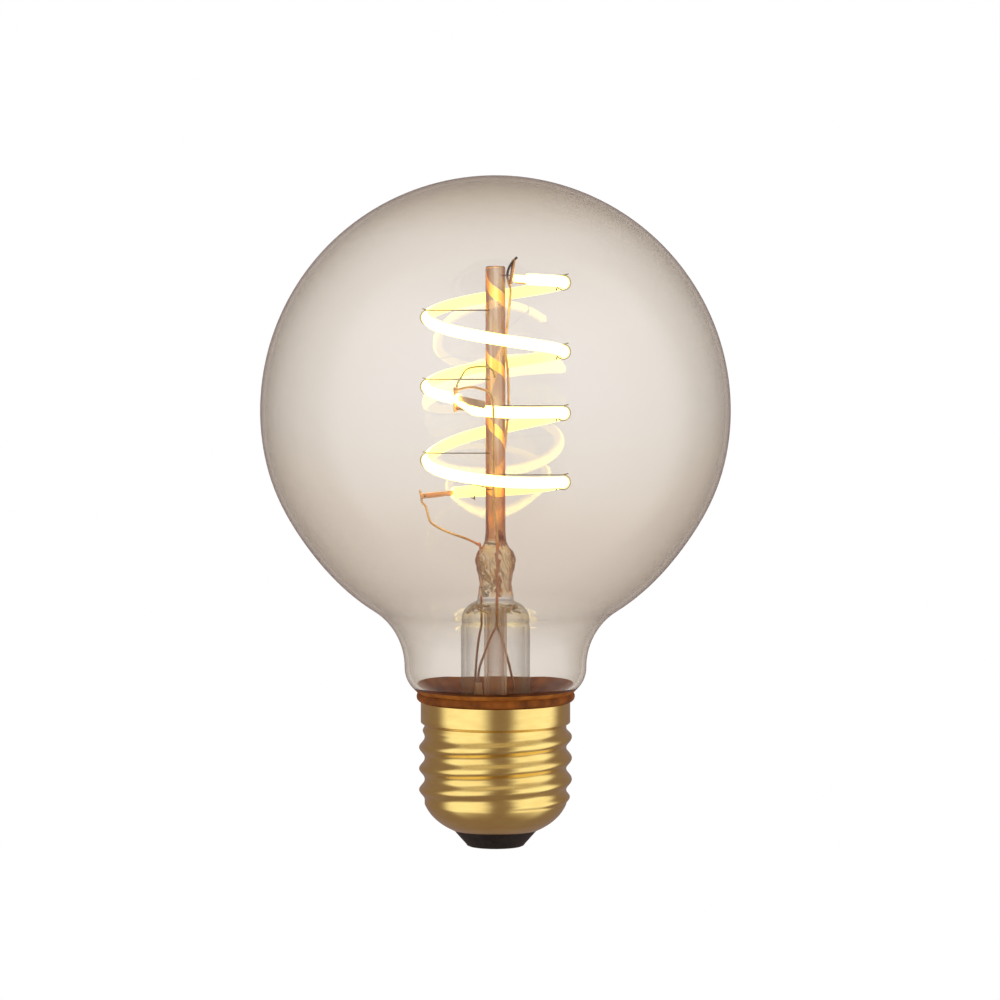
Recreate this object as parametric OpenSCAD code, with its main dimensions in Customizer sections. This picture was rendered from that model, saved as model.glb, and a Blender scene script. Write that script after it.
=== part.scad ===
// Globe bulb: blown globe on a screw cap, with two flexible light strips wound round a glass rod.
// Millimetres, +Z up. The origin is the middle of the flat face of the centre contact.

/* [Globe] */
// radius of the blown globe
globe_r = 40; // [30:0.5:62.5]
// thickness of the blown glass
glass_t = 0.8; // [0.5:0.05:1.5]
// how far the widest part of the neck stands out from the root of the thread
neck_out = 3.4; // [2.7:0.1:5]
// radius of the concave shoulder between globe and neck
shoulder_r = 11.5; // [6:0.5:20]
// height of the widest part of the neck, where the shoulder ends
shoulder_z = 30.845; // [28:0.005:36]
// radius of the round where the neck turns into the cap
neck_round_r = 5; // [3:0.1:6]
// cement between the shell's wall and the neck inside the cap
neck_gap = 0.4; // [0.2:0.05:0.8]
// height of the lowest edge of the neck
neck_low_z = 17.6; // [16:0.1:20]

/* [Stem] */
// outer radius of the flare tube
flare_r = 5.9; // [5:0.1:7]
// thickness of the flare tube
flare_t = 0.9; // [0.5:0.05:1.2]
// height where the flare tube ends and its shoulder starts
flare_top_z = 39.6; // [34:0.1:44]
// height of the underside of the press
press_z = 42.2; // [40:0.1:48]
// height of the top of the press
press_top_z = 51.6; // [48:0.1:58]
// widest radius of the press
press_r = 3.4; // [3.2:0.05:4.5]
// radius of the press at its waist
press_waist_r = 2.8; // [2.7:0.05:3.4]
// glass between a lead in the press and the rod or the press's face
press_cover = 0.28; // [0.2:0.01:0.6]
// outer radius of the exhaust tube
exhaust_r = 1.95; // [1.2:0.05:2]
// thickness of the exhaust tube
exhaust_t = 0.5; // [0.3:0.05:0.8]
// height of the sealed tip of the exhaust tube
exhaust_tip_z = 15.2; // [14.5:0.1:20]
// radius of the glass rod
pillar_r = 1.7; // [1.2:0.05:1.8]
// height of the top of the rod above the first support wire
pillar_over = 1.55; // [0.5:0.05:4]

/* [Light strips] */
// radius of both spirals
spiral_r = 11.5; // [9:0.1:16]
// radius of a strip
strip_r = 0.98; // [0.7:0.01:1.2]
// height of the first end of the upper strip above the globe's centre
upper_top_h = 22.9; // [14:0.1:28]
// height of the last end of the upper strip above the globe's centre
upper_low_h = 2.8; // [1:0.1:6]
// angles of the key points of the upper strip, seen from above
upper_angles = [-62, 0, 90, 180, 270, 360, 450, 540, 593];
// height shares of those key points
upper_shares = [1, 0.945, 0.8, 0.65, 0.505, 0.36, 0.212, 0.065, 0];
// height of the first end of the lower strip above the globe's centre
lower_top_h = 1; // [-2:0.1:1.5]
// depth of the last end of the lower strip below the globe's centre
lower_low_h = 14.8; // [10:0.1:18]
// angles of the key points of the lower strip, seen from above
lower_angles = [612, 630, 720, 810, 900, 990, 1080, 1150, 1208];
// height shares of those key points
lower_shares = [1, 0.98, 0.91, 0.68, 0.4, 0.24, 0.165, 0.03, 0];
// width of a metal end tab
tab_w = 0.9; // [0.5:0.05:1.4]
// thickness of a metal end tab
tab_t = 0.3; // [0.15:0.05:0.5]
// length of a long end tab
tab_l = 5.6; // [3:0.1:7]
// length of the first end tab
top_tab_l = 2.4; // [1:0.1:4]
// height of the upright plate of the middle joint
joint_h = 4.2; // [3:0.1:6]

/* [Wires] */
// radius of a support wire
hook_wire_r = 0.2; // [0.1:0.01:0.3]
// clearance between a strip and the hook round it
hook_gap = 0.07; // [0.05:0.01:0.1]
// angle that each hook turns round its strip
hook_turn = 235; // [180:5:270]
// depth of a support wire in the rod
hook_root = 1; // [0.5:0.1:1.4]
// radius of a lead wire
lead_r = 0.27; // [0.15:0.01:0.3]
// outer radius of a lead sleeve
sleeve_r = 0.8; // [0.5:0.05:1]

/* [Cap] */
// height of the rim of the cap
rim_z = 25.1; // [22:0.1:27]
// height of the lower edge of the plain collar
collar_z = 20.9; // [19:0.1:22]
// how far the plain collar stands out from the root of the thread
collar_out = 0.65; // [0.4:0.01:1]
// depth of the thread
thread_depth = 0.95; // [0.8:0.01:1.1]
// radius of the thread's root
root_r = 12.1; // [12:0.01:12.3]
// pitch of the thread
thread_pitch = 3.63; // [3.6:0.01:3.66]
// height of a crest on the right side
crest_z = 15.3; // [13:0.1:17]
// height where the thread has run out
thread_low_z = 7.4; // [6:0.1:9]
// length of the thread's run-out
run_out_l = 1.6; // [0.8:0.1:3]
// thickness of the rolled brass
sheet_t = 0.3; // [0.2:0.01:0.4]
// radius of the hole at the bottom of the cap
cap_hole_r = 7.15; // [6:0.05:8]
// height of the bottom of the cap shell
cap_low_z = 2.9; // [2:0.1:4]
// how far the cement bulges out over the collar
cement_out = 0.75; // [0.2:0.05:1.2]
// height of the cement above the rim
cement_h = 1.5; // [0.5:0.1:2.5]
// radius of the insulator's lower edge
insulator_low_r = 4.6; // [4:0.1:6]
// height of the insulator's lower face
insulator_low_z = 0.15; // [0.05:0.05:0.5]
// height of the insulator's inner top
insulator_top_z = 5.2; // [4.6:0.1:6]
// radius of the centre contact
contact_r = 3.4; // [2.8:0.1:4.2]
// thickness of the centre contact
contact_t = 0.35; // [0.3:0.01:0.5]
// outer radius of the eyelet of the centre contact
eyelet_r = 1; // [0.8:0.05:1.4]

/* [Driver] */
// clearance between the driver board and the shell
board_gap = 1.6; // [1:0.1:2.5]
// height of the underside of the driver board
board_z = 12.4; // [11.5:0.1:13]
// thickness of the driver board
board_t = 1.2; // [0.8:0.1:1.6]
// radius of the storage capacitor
capacitor_r = 3.15; // [2:0.05:3.2]
// height of the storage capacitor
capacitor_h = 5.9; // [4:0.1:6.5]
// radius of the choke
choke_r = 2.4; // [1.5:0.1:2.6]
// height of the choke
choke_h = 4.6; // [3:0.1:6]
// radius of the fuse resistor
fuse_r = 1.3; // [0.8:0.1:1.6]
// length of the fuse resistor
fuse_l = 5; // [3:0.1:6]
// length, width and height of the bridge rectifier
rectifier_size = [4.7, 3.9, 1.4];
// length, width and height of the driver chip
chip_size = [4.9, 3.9, 1.4];

/* [Build] */
// which part to show

/* [Hidden] */
$fn = 96;
touch = 0.02;
cap_unit = root_r / 12.1;
high_unit = rim_z / 25.1;
shell_sides = 36;
rings_a_turn = 9;
strip_sides = 12;
strip_steps_a_turn = 24;
wire_sides = 8;

// the cap's radii, all from the root of its thread
collar_r = root_r + collar_out;
crest_r = root_r + thread_depth;
cement_r = collar_r + cement_out;
board_r = root_r - sheet_t - board_gap;
neck_r = root_r + neck_out;
neck_low_r = root_r - sheet_t - neck_gap;

// centres of the profile's arcs; the globe stands on the neck
shoulder_x = neck_r + shoulder_r;
globe_z = shoulder_z + sqrt(pow(globe_r + shoulder_r, 2) - pow(shoulder_x, 2));
round_x = neck_r - neck_round_r;
upper_top_z = globe_z + upper_top_h;
upper_low_z = globe_z + upper_low_h;
lower_top_z = globe_z + lower_top_h;
lower_low_z = globe_z - lower_low_h;

// where the leads pass straight through the press: x and y
pass_y = max(exhaust_r + touch * 1.5, pillar_r + press_cover) + lead_r;
press_t = (pass_y + lead_r + press_cover) * 2;
top_pass = [pillar_r * 0.118, pass_y];
centre_pass = [pillar_r * 0.176, -pass_y];
bottom_pass = [-press_r * 0.706, 0];

// sizes that the leads' free points follow: past the strips, beside the rod, in the flare
out_unit = (spiral_r + strip_r + lead_r) / 12.75;
rod_unit = (pillar_r + lead_r) / 1.97;
foot_unit = (flare_r - flare_t - sleeve_r) / 4.2;
tab_unit = tab_w / 0.9;
press_unit = (press_top_z - press_z) / 9.4;

function unit_vector(v) = v / norm(v);
function mix(a, b, t) = a + (b - a) * t;
// points from x, y and a share of the height between two ends
function hung(points, width, low_z, high_z) = [for (p = points)
    [p[0] * width, p[1] * width, mix(low_z, high_z, p[2])]];

// a value on a smooth curve through keys
function slope_at(keys, values, i) = let (a = max(i - 1, 0), b = min(i + 1, len(keys) - 1))
    (values[b] - values[a]) / (keys[b] - keys[a]);
function span_of(keys, x, i = 0) = i >= len(keys) - 2 || x <= keys[i + 1] ? i
    : span_of(keys, x, i + 1);
function smooth(keys, values, x) = let (
    i = span_of(keys, x), w = keys[i + 1] - keys[i], t = (x - keys[i]) / w,
    a = slope_at(keys, values, i) * w, b = slope_at(keys, values, i + 1) * w,
    p = values[i], q = values[i + 1])
    p + a * t + (3 * (q - p) - 2 * a - b) * pow(t, 2) + (a + b - 2 * (q - p)) * pow(t, 3);

// a smooth path through points
function curve(points, steps) = concat([for (i = [0:len(points) - 2], j = [0:steps - 1]) let (
    p = points[i], q = points[i + 1], t = j / steps,
    a = (q - points[max(i - 1, 0)]) / 2, b = (points[min(i + 2, len(points) - 1)] - p) / 2)
    p + a * t + (3 * (q - p) - 2 * a - b) * pow(t, 2) + (a + b - 2 * (q - p)) * pow(t, 3)],
    [points[len(points) - 1]]);

// directions along a path and a side vector that never twists
function directions(path) = [for (i = [0:len(path) - 1])
    unit_vector(path[min(i + 1, len(path) - 1)] - path[max(i - 1, 0)])];
function flat_to(v, t) = unit_vector(v - t * (v * t));
function sides_of(dirs, first) = [for (i = 0, s = flat_to(first, dirs[0]); i < len(dirs);
    i = i + 1, s = i < len(dirs) ? flat_to(s, dirs[i]) : s) s];

function ring_faces(rings, n) = [for (k = [0:rings - 2], i = [0:n - 1])
    [k * n + i, (k + 1) * n + i, (k + 1) * n + (i + 1) % n, k * n + (i + 1) % n]];

// the height of each strip at an angle
function upper_z(a) = mix(upper_low_z, upper_top_z, smooth(upper_angles, upper_shares, a));
function lower_z(a) = mix(lower_low_z, lower_top_z, smooth(lower_angles, lower_shares, a));
hook_r = strip_r + hook_gap + hook_wire_r;
pillar_top_z = upper_z(0) + hook_r + pillar_over;
function on_spiral(a, z) = [spiral_r * cos(a), spiral_r * sin(a), z];
function last(list) = list[len(list) - 1];
function strip_steps(angles) = ceil((last(angles) - angles[0]) / 360 * strip_steps_a_turn);
upper_path = let (n = strip_steps(upper_angles)) [for (i = [0:n]) let (
    a = mix(upper_angles[0], last(upper_angles), i / n)) on_spiral(a, upper_z(a))];
lower_path = let (n = strip_steps(lower_angles)) [for (i = [0:n]) let (
    a = mix(lower_angles[0], last(lower_angles), i / n)) on_spiral(a, lower_z(a))];

// ends of the strips and the directions out of them
top_end = upper_path[0];
top_out = unit_vector(upper_path[0] - upper_path[1]);
middle_end = last(upper_path);
middle_out = unit_vector(middle_end - upper_path[len(upper_path) - 2]);
joint_end = lower_path[0];
bottom_end = last(lower_path);
bottom_out = unit_vector(bottom_end - lower_path[len(lower_path) - 2]);
plate_side = flat_to([-middle_out[1], middle_out[0], 0], middle_out);
plate_x = 0.55 * tab_unit;
plate_middle = middle_end + middle_out * plate_x - plate_side * (tab_t + touch)
    - [0, 0, joint_h * 0.02];
joint_start = plate_middle - [0, 0, joint_h / 2 - tab_w * 0.55]
    + plate_side * (tab_t + touch * 3) - middle_out * tab_w * 0.4;
bottom_side = flat_to([-bottom_out[1], bottom_out[0], 0], bottom_out);
weld_point = bottom_end + bottom_out * (tab_l - lead_r * 1.5)
    - bottom_side * (tab_t / 2 + lead_r + touch);

// leads, from the strips down to the board
lead_foot_z = board_z + touch;
flare_run_z = press_z - 2.8 * press_unit;
function press_run(xy) = [[xy[0], xy[1], press_top_z + 1.6 * press_unit],
    [xy[0], xy[1], press_top_z], [xy[0], xy[1], press_z - 1.6 * press_unit],
    [xy[0], xy[1], flare_run_z]];
top_foot = [3.4, 2.2] * foot_unit;
centre_foot = [-2.9, -2.6] * foot_unit;
bottom_foot = [-3.5, 1.8] * foot_unit;
// sleeves on the leads: from and to this height
sleeve_low_z = neck_low_z + 2 * high_unit;
centre_sleeve_z = sleeve_low_z + 8.7 * high_unit;
side_sleeve_z = sleeve_low_z + 4.4 * high_unit;
function foot_run(xy, from_z) = [[xy[0], xy[1], from_z + 1.6 * high_unit],
    [xy[0], xy[1], from_z + 0.2 * high_unit], [xy[0], xy[1], board_z + board_t + high_unit],
    [xy[0], xy[1], lead_foot_z]];
top_tab_tip = top_end + top_out * top_tab_l;
function by_tip(offsets) = [for (o = offsets) top_tab_tip + o * tab_unit];
top_lead_path = concat(
    by_tip([[0.45, -0.55, 3.6], [-0.5, -0.6, 2.4], [-0.9, -0.5, 1], [-0.65, -0.3, -0.4],
        [-0.4, 0.6, -2.2]]),
    hung([[2.1, -8, 0.8196], [1.7, -4.4, 0.6923]], out_unit, lower_low_z, upper_top_z),
    hung([[2.15, -0.6, 0.5464], [2.15, 1.1, 0.374], [1.3, 2.1, 0.1618]],
        rod_unit, lower_low_z, upper_top_z),
    hung([[0.6, 2.25, 0.8916]], rod_unit, press_top_z, lower_low_z),
    press_run(top_pass),
    hung([[1.4, 2.5, 0.7143], [2.6, 2.5, 0.3896]], foot_unit, side_sleeve_z, flare_run_z),
    foot_run(top_foot, side_sleeve_z));
plate_top_z = plate_middle[2] + joint_h / 2;
centre_start = plate_middle + [0, 0, joint_h / 2 - lead_r]
    - plate_side * (tab_t / 2 + lead_r + touch);
centre_lead_path = concat(
    [centre_start, centre_start + middle_out * tab_w],
    hung([[-4, -12.1, 1.0076], [-1.5, -13, 0.9769], [-0.6, -13.2, 0.9155],
        [-0.35, -13.1, 0.803], [-0.3, -11.6, 0.6598], [-0.3, -6, 0.445]],
        out_unit, lower_low_z, plate_top_z),
    hung([[-0.3, -2.9, 0.2506]], rod_unit, lower_low_z, plate_top_z),
    hung([[-0.3, -2.3, 1.0121]], rod_unit, press_top_z, lower_low_z),
    press_run(centre_pass),
    hung([[-0.3, -2.7, 0.8919], [-1.3, -2.9, 0.6486], [-2, -2.9, 0.4595], [-2.6, -2.8, 0.2973]],
        foot_unit, centre_sleeve_z, flare_run_z),
    foot_run(centre_foot, centre_sleeve_z));
bottom_lead_path = concat(
    [weld_point + [-0.25, 0.1, 1] * tab_unit, weld_point,
     weld_point + [0.15, -0.2, -1.1] * tab_unit],
    hung([[-11.9, 3.9, 0.7854], [-11.35, 3, 0.54], [-10.8, 2.6, 0.4418], [-9.4, 2, 0.3436],
        [-7.4, 1.2, 0.2454], [-5.4, 0.6, 0.1964], [-3.6, 0.1, 0.2209]],
        out_unit, press_top_z, weld_point[2]),
    press_run(bottom_pass),
    hung([[-3, 0.8, 0.7143], [-3.4, 1.4, 0.3896]], foot_unit, side_sleeve_z, flare_run_z),
    foot_run(bottom_foot, side_sleeve_z));

// a rod between two points
module rod(p, q, r) {
    v = q - p;
    translate(p) rotate([0, acos(v[2] / norm(v)), atan2(v[1], v[0])])
        cylinder(r = r, h = norm(v));
}

// a flat bar that leaves a point in a direction, with its width upright
module bar(p, t, length, width, thickness) {
    side = flat_to([-t[1], t[0], 0], t);
    up = cross(t, side);
    multmatrix([[t[0], side[0], up[0], p[0]], [t[1], side[1], up[1], p[1]],
        [t[2], side[2], up[2], p[2]], [0, 0, 0, 1]])
        translate([0, -thickness / 2, -width / 2]) cube([length, thickness, width]);
}

// a round wire along a path
module sweep(path, r, n, first = [0, 0.2, 1]) {
    dirs = directions(path);
    s = sides_of(dirs, first);
    points = [for (i = [0:len(path) - 1], k = [0:n - 1]) let (a = 360 * (k + 0.5) / n)
        path[i] + (s[i] * cos(a) + cross(dirs[i], s[i]) * sin(a)) * r];
    ends = [[for (k = [0:n - 1]) k],
        [for (k = [0:n - 1]) len(path) * n - 1 - k]];
    polyhedron(points, concat(ring_faces(len(path), n), ends));
}

// the filled bulb, drawn in by an inset
module bulb_body(inset) {
    // drawn in a little, so the cone crosses the round and doesn't only touch it
    slant = neck_round_r - inset - touch;
    turn_x = round_x + slant * cos(45);
    turn_z = shoulder_z - slant * sin(45);
    low_x = neck_low_r - inset;
    union() {
        translate([0, 0, globe_z]) sphere(globe_r - inset);
        rotate_extrude() difference() {
            polygon([[0, shoulder_z], [shoulder_x, shoulder_z], [0, globe_z]]);
            translate([shoulder_x, shoulder_z]) circle(shoulder_r + inset);
        }
        rotate_extrude() intersection() {
            translate([round_x, shoulder_z]) circle(neck_round_r - inset);
            translate([0, shoulder_z - neck_round_r]) square([neck_r, neck_round_r]);
        }
        rotate_extrude() polygon([[0, globe_z], [round_x, shoulder_z + neck_round_r / 2],
            [turn_x, turn_z], [low_x, turn_z - (turn_x - low_x)], [low_x, neck_low_z],
            [0, neck_low_z]]);
    }
}

module glass_globe() color([0.92, 0.89, 0.86, 0.35]) difference() {
    bulb_body(0);
    bulb_body(glass_t);
}

// the straight bores that the leads need in the press
module press_bores() for (xy = [top_pass, centre_pass, bottom_pass])
    translate([xy[0], xy[1], flare_top_z]) cylinder(r = lead_r, h = press_top_z);

module press_body() {
    waist_z = mix(press_z, press_top_z, 0.32);
    bulge_z = mix(press_z, press_top_z, 0.76);
    intersection() {
        union() {
            translate([0, 0, press_z]) cylinder(r1 = press_r, r2 = press_waist_r,
                h = waist_z - press_z);
            translate([0, 0, waist_z]) cylinder(r1 = press_waist_r, r2 = press_r,
                h = bulge_z - waist_z);
            translate([0, 0, bulge_z]) cylinder(r1 = press_r, r2 = press_waist_r,
                h = press_top_z - bulge_z);
        }
        translate([-press_r, -press_t / 2, press_z])
            cube([press_r * 2, press_t, press_top_z - press_z]);
    }
}

module stem_flare() color([0.9, 0.86, 0.82, 0.5]) difference() {
    union() {
        press_body();
        translate([0, 0, flare_top_z]) cylinder(r1 = flare_r, r2 = press_r,
            h = press_z - flare_top_z);
        translate([0, 0, neck_low_z]) cylinder(r = flare_r, h = flare_top_z - neck_low_z);
        translate([0, 0, neck_low_z]) cylinder(r = neck_low_r - glass_t, h = flare_t);
        translate([0, 0, neck_low_z + flare_t]) cylinder(r1 = flare_r + flare_t * 2,
            r2 = flare_r, h = flare_t * 3);
    }
    translate([0, 0, 0]) cylinder(r = flare_r - flare_t, h = flare_top_z - flare_t);
    translate([0, 0, flare_top_z - flare_t]) cylinder(r1 = flare_r - flare_t,
        r2 = exhaust_r, h = press_z - flare_top_z);
    translate([0, 0, neck_low_z - touch]) cylinder(r = exhaust_r,
        h = press_z - neck_low_z + flare_t);
    press_bores();
}

module exhaust_tube() color([0.9, 0.86, 0.82, 0.5]) difference() {
    union() {
        translate([0, 0, exhaust_tip_z]) cylinder(r1 = exhaust_t, r2 = exhaust_r,
            h = exhaust_r);
        translate([0, 0, exhaust_tip_z + exhaust_r]) cylinder(r = exhaust_r,
            h = press_z + flare_t - exhaust_tip_z - exhaust_r - touch);
    }
    translate([0, 0, exhaust_tip_z + exhaust_r]) cylinder(r = exhaust_r - exhaust_t,
        h = press_z - exhaust_tip_z);
}

module stem_pillar() color([0.85, 0.72, 0.62, 0.6]) difference() {
    translate([0, 0, press_top_z]) cylinder(r = pillar_r, h = pillar_top_z - press_top_z);
    for (h = hooks) hook_wire(h);
    support_wire_root();
}

module upper_strip() color([1, 0.95, 0.7]) sweep(upper_path, strip_r, strip_sides);
module lower_strip() color([1, 0.95, 0.7]) sweep(lower_path, strip_r, strip_sides);

module top_tab() color([0.8, 0.55, 0.35])
    bar(top_end + top_out * touch, top_out, top_tab_l, tab_w, tab_t);

module middle_tab() color([0.65, 0.5, 0.4]) union() {
    bar(middle_end + middle_out * touch, middle_out, tab_l, tab_w, tab_t);
    bar(plate_middle + plate_side * touch * 2 - middle_out * tab_w / 2, middle_out, tab_w,
        joint_h, tab_t);
}

module joint_tab() color([0.65, 0.5, 0.4]) {
    v = joint_start - joint_end;
    bar(joint_end + unit_vector(v) * tab_t / 2, unit_vector(v), norm(v) - tab_t / 2,
        tab_w * 0.6, tab_t * 0.8);
}

module bottom_tab() color([0.85, 0.5, 0.25])
    bar(bottom_end + bottom_out * touch, bottom_out, tab_l, tab_w, tab_t);

module lead(path) color([0.72, 0.5, 0.32]) sweep(curve(path, 3), lead_r, wire_sides);
module top_lead() lead(top_lead_path);
module centre_lead() lead(centre_lead_path);
module bottom_lead() lead(bottom_lead_path);

// angle, height of the strip there, height of the root on the rod above that
hooks = [
    [0, upper_z(0), 0], [360, upper_z(360), 0], [720, lower_z(720), 0],
    [1080, lower_z(1080), 0], [180, upper_z(180), 0], [540, upper_z(540), 0],
    [900, lower_z(900), 0], [1190, lower_z(1190), 0]];

module hook_wire(h) rotate([0, 0, h[0]]) translate([pillar_r - hook_root, 0, h[1] + hook_r])
    rotate([0, 90, 0])
    cylinder(r = hook_wire_r, h = spiral_r - pillar_r + hook_root + hook_wire_r / 2);

module hook(h) color([0.35, 0.3, 0.25]) union() {
    hook_wire(h);
    rotate([0, 0, h[0]]) translate([spiral_r, 0, h[1]]) rotate([90, 0, 0])
        rotate([0, 0, 90 - hook_turn]) rotate_extrude(angle = hook_turn)
        translate([hook_r, 0]) circle(hook_wire_r * 0.95);
}

module right_hook_top() hook(hooks[0]);
module right_hook_upper() hook(hooks[1]);
module right_hook_middle() hook(hooks[2]);
module right_hook_bottom() hook(hooks[3]);
module left_hook_top() hook(hooks[4]);
module left_hook_middle() hook(hooks[5]);
module left_hook_bottom() hook(hooks[6]);
module back_hook() hook(hooks[7]);

// the bent wire that carries the middle joint
function by_plate(points, width) = [for (p = points)
    [p[0] * width, p[1] * width, plate_top_z + p[2] * tab_unit]];
support_root = by_plate([[0.6, 0, 3.8484]], rod_unit)[0] - [0, pillar_r, 0];
support_path = concat([plate_middle + [0, 0, joint_h / 2 - lead_r * 2] + plate_side
    * (tab_t / 2 + hook_wire_r + touch * 3), plate_middle + [0, 0, joint_h / 2]
    + [0.1, 0.4, 0.8] * tab_unit], by_plate([[-5.1, -8.6, 2.4484], [-3.4, -6.6, 3.1484]],
    out_unit), by_plate([[-1.2, -4, 3.6484], [0.3, -2.6, 3.7484]], rod_unit),
    [support_root, support_root + [0.1 * rod_unit, hook_root, 0]]);
module support_wire_root() rod(mix(support_path[6], support_path[7], -0.1), support_path[7],
    hook_wire_r);
module joint_support() color([0.5, 0.45, 0.25]) sweep(support_path, hook_wire_r, wire_sides);

module sleeve(xy, top_z) color([0.6, 0.35, 0.15, 0.7]) translate([xy[0], xy[1], 0])
    difference() {
        translate([0, 0, sleeve_low_z]) cylinder(r = sleeve_r, h = top_z - sleeve_low_z);
        cylinder(r = lead_r + touch, h = top_z * 2);
    }
module centre_sleeve() sleeve(centre_foot, centre_sleeve_z);
module top_sleeve() sleeve(top_foot, side_sleeve_z);
module bottom_sleeve() sleeve(bottom_foot, side_sleeve_z);

// the cap shell: the radius of its thread at an angle and height
function fade(x) = x <= 0 ? 0 : x >= 1 ? 1 : x * x * (3 - 2 * x);
function thread_share(z) = fade((z - thread_low_z) / run_out_l) * fade((collar_z - z) / run_out_l);
function thread_r(a, z) = root_r + (crest_r - root_r) * thread_share(z)
    * (1 + cos(a - 360 * (z - crest_z) / thread_pitch)) / 2;

// rings of the shell's outer face, from its hole to its rim: radius and height
step_z = 0.45 * high_unit;
thread_rings = ceil((collar_z - thread_low_z) / thread_pitch * rings_a_turn);
function bowl(hole, knee, top, t) = hole * pow(1 - t, 2) + knee * 2 * t * (1 - t) + top * t * t;
bowl_knee = [root_r * 0.9, mix(cap_low_z, thread_low_z, 0.36)];
outer_rings = concat(
    [for (i = [0:6]) bowl([cap_hole_r, cap_low_z], bowl_knee, [root_r, thread_low_z], i / 7)],
    [for (i = [0:thread_rings]) [root_r, mix(thread_low_z, collar_z, i / thread_rings)]],
    [[collar_r, collar_z + step_z], [collar_r, rim_z - step_z / 2],
     [collar_r - step_z / 4, rim_z]]);
inner_rings = concat(
    [[collar_r - sheet_t, rim_z], [collar_r - sheet_t, collar_z + step_z + sheet_t]],
    [for (i = [thread_rings:-1:0]) [root_r - sheet_t,
        mix(thread_low_z, collar_z, i / thread_rings)]],
    [for (i = [6:-1:0]) bowl([cap_hole_r, cap_low_z + sheet_t],
        bowl_knee + [-sheet_t * 0.5, sheet_t], [root_r - sheet_t, thread_low_z], i / 7)]);
shell_rings = concat(outer_rings, inner_rings);

module cap_shell() color([0.85, 0.7, 0.35]) {
    n = shell_sides;
    m = len(shell_rings);
    points = [for (ring = shell_rings, k = [0:n - 1]) let (a = 360 * k / n,
        r = ring[0] + thread_r(a, ring[1]) - root_r) [r * cos(a), r * sin(a), ring[1]]];
    polyhedron(points, [for (j = [0:m - 1], k = [0:n - 1])
        let (a = j * n, b = ((j + 1) % m) * n, q = (k + 1) % n, even = (j + k) % 2 == 0)
        each (even ? [[a + k, b + k, b + q], [a + k, b + q, a + q]]
            : [[a + k, b + k, a + q], [b + k, b + q, a + q]])]);
}

facet_share = cos(180 / shell_sides);
collar_bore_r = (collar_r - sheet_t) * facet_share - touch;
cement_low_z = neck_low_z + 1.4 * high_unit;
// the bead above the rim: shares of its width and height
bead_shares = [[0.45, 0], [0.8, 0.03], [0.94, 0.25], [1, 0.55], [0.93, 0.85], [0.75, 1]];

module basing_cement() color([0.45, 0.24, 0.1]) difference() {
    rotate_extrude() union() {
        translate([neck_low_r - glass_t / 2, collar_z + step_z + sheet_t]) square([collar_bore_r
            - neck_low_r + glass_t / 2, rim_z - collar_z - step_z - sheet_t + touch * 2]);
        translate([neck_low_r - glass_t / 2, cement_low_z]) square([(root_r - sheet_t)
            * facet_share - touch - neck_low_r + glass_t / 2, collar_z + step_z + sheet_t
            - cement_low_z + touch]);
        polygon(concat([[neck_low_r, rim_z + touch]],
            [for (b = bead_shares) [mix(neck_low_r, cement_r, b[0]),
                rim_z + touch + cement_h * b[1]]], [[neck_low_r, rim_z + touch + cement_h]]));
    }
    bulb_body(0);
}

contact_hole_r = eyelet_r * 0.65;
eyelet_top_z = insulator_top_z * 0.68;
flange_r = root_r * 0.7;
flange_z = mix(cap_low_z, thread_low_z, 0.3);

module cap_insulator() color([0.1, 0.09, 0.08]) rotate_extrude() difference() {
    polygon([[0, insulator_low_z], [insulator_low_r * 0.95, insulator_low_z],
        [insulator_low_r, insulator_low_z + touch * 4],
        [insulator_low_r * 1.09, insulator_low_z + cap_unit * 0.35],
        [cap_hole_r * facet_share - touch, cap_low_z],
        [cap_hole_r * facet_share - touch, cap_low_z + sheet_t + touch],
        [flange_r, flange_z], [flange_r, insulator_top_z], [0, insulator_top_z]]);
    square([contact_r, contact_t]);
    square([eyelet_r, insulator_top_z * 2]);
}

module centre_contact() color([0.8, 0.8, 0.78]) rotate_extrude() {
    translate([contact_hole_r, 0]) square([contact_r - touch - contact_hole_r, contact_t]);
    translate([contact_hole_r, 0]) square([eyelet_r - contact_hole_r, eyelet_top_z]);
}

live_tip_z = contact_t * 2;
module contact_solder() color([0.75, 0.75, 0.72]) difference() {
    translate([0, 0, touch]) cylinder(r = contact_hole_r, h = eyelet_top_z * 0.6);
    translate([0, 0, live_tip_z]) cylinder(r = lead_r, h = eyelet_top_z);
}

// the driver: places of its parts on the board
capacitor_xy = [4.5, -0.6] * cap_unit;
choke_xy = [-5.4, 2.5] * cap_unit;
fuse_xy = [-2.2, -5.2] * cap_unit;
rectifier_xy = [1.2, -7.6] * cap_unit;
chip_xy = [-2.4, 5] * cap_unit;
neutral_xy = [8, -3.4] * cap_unit;

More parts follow.
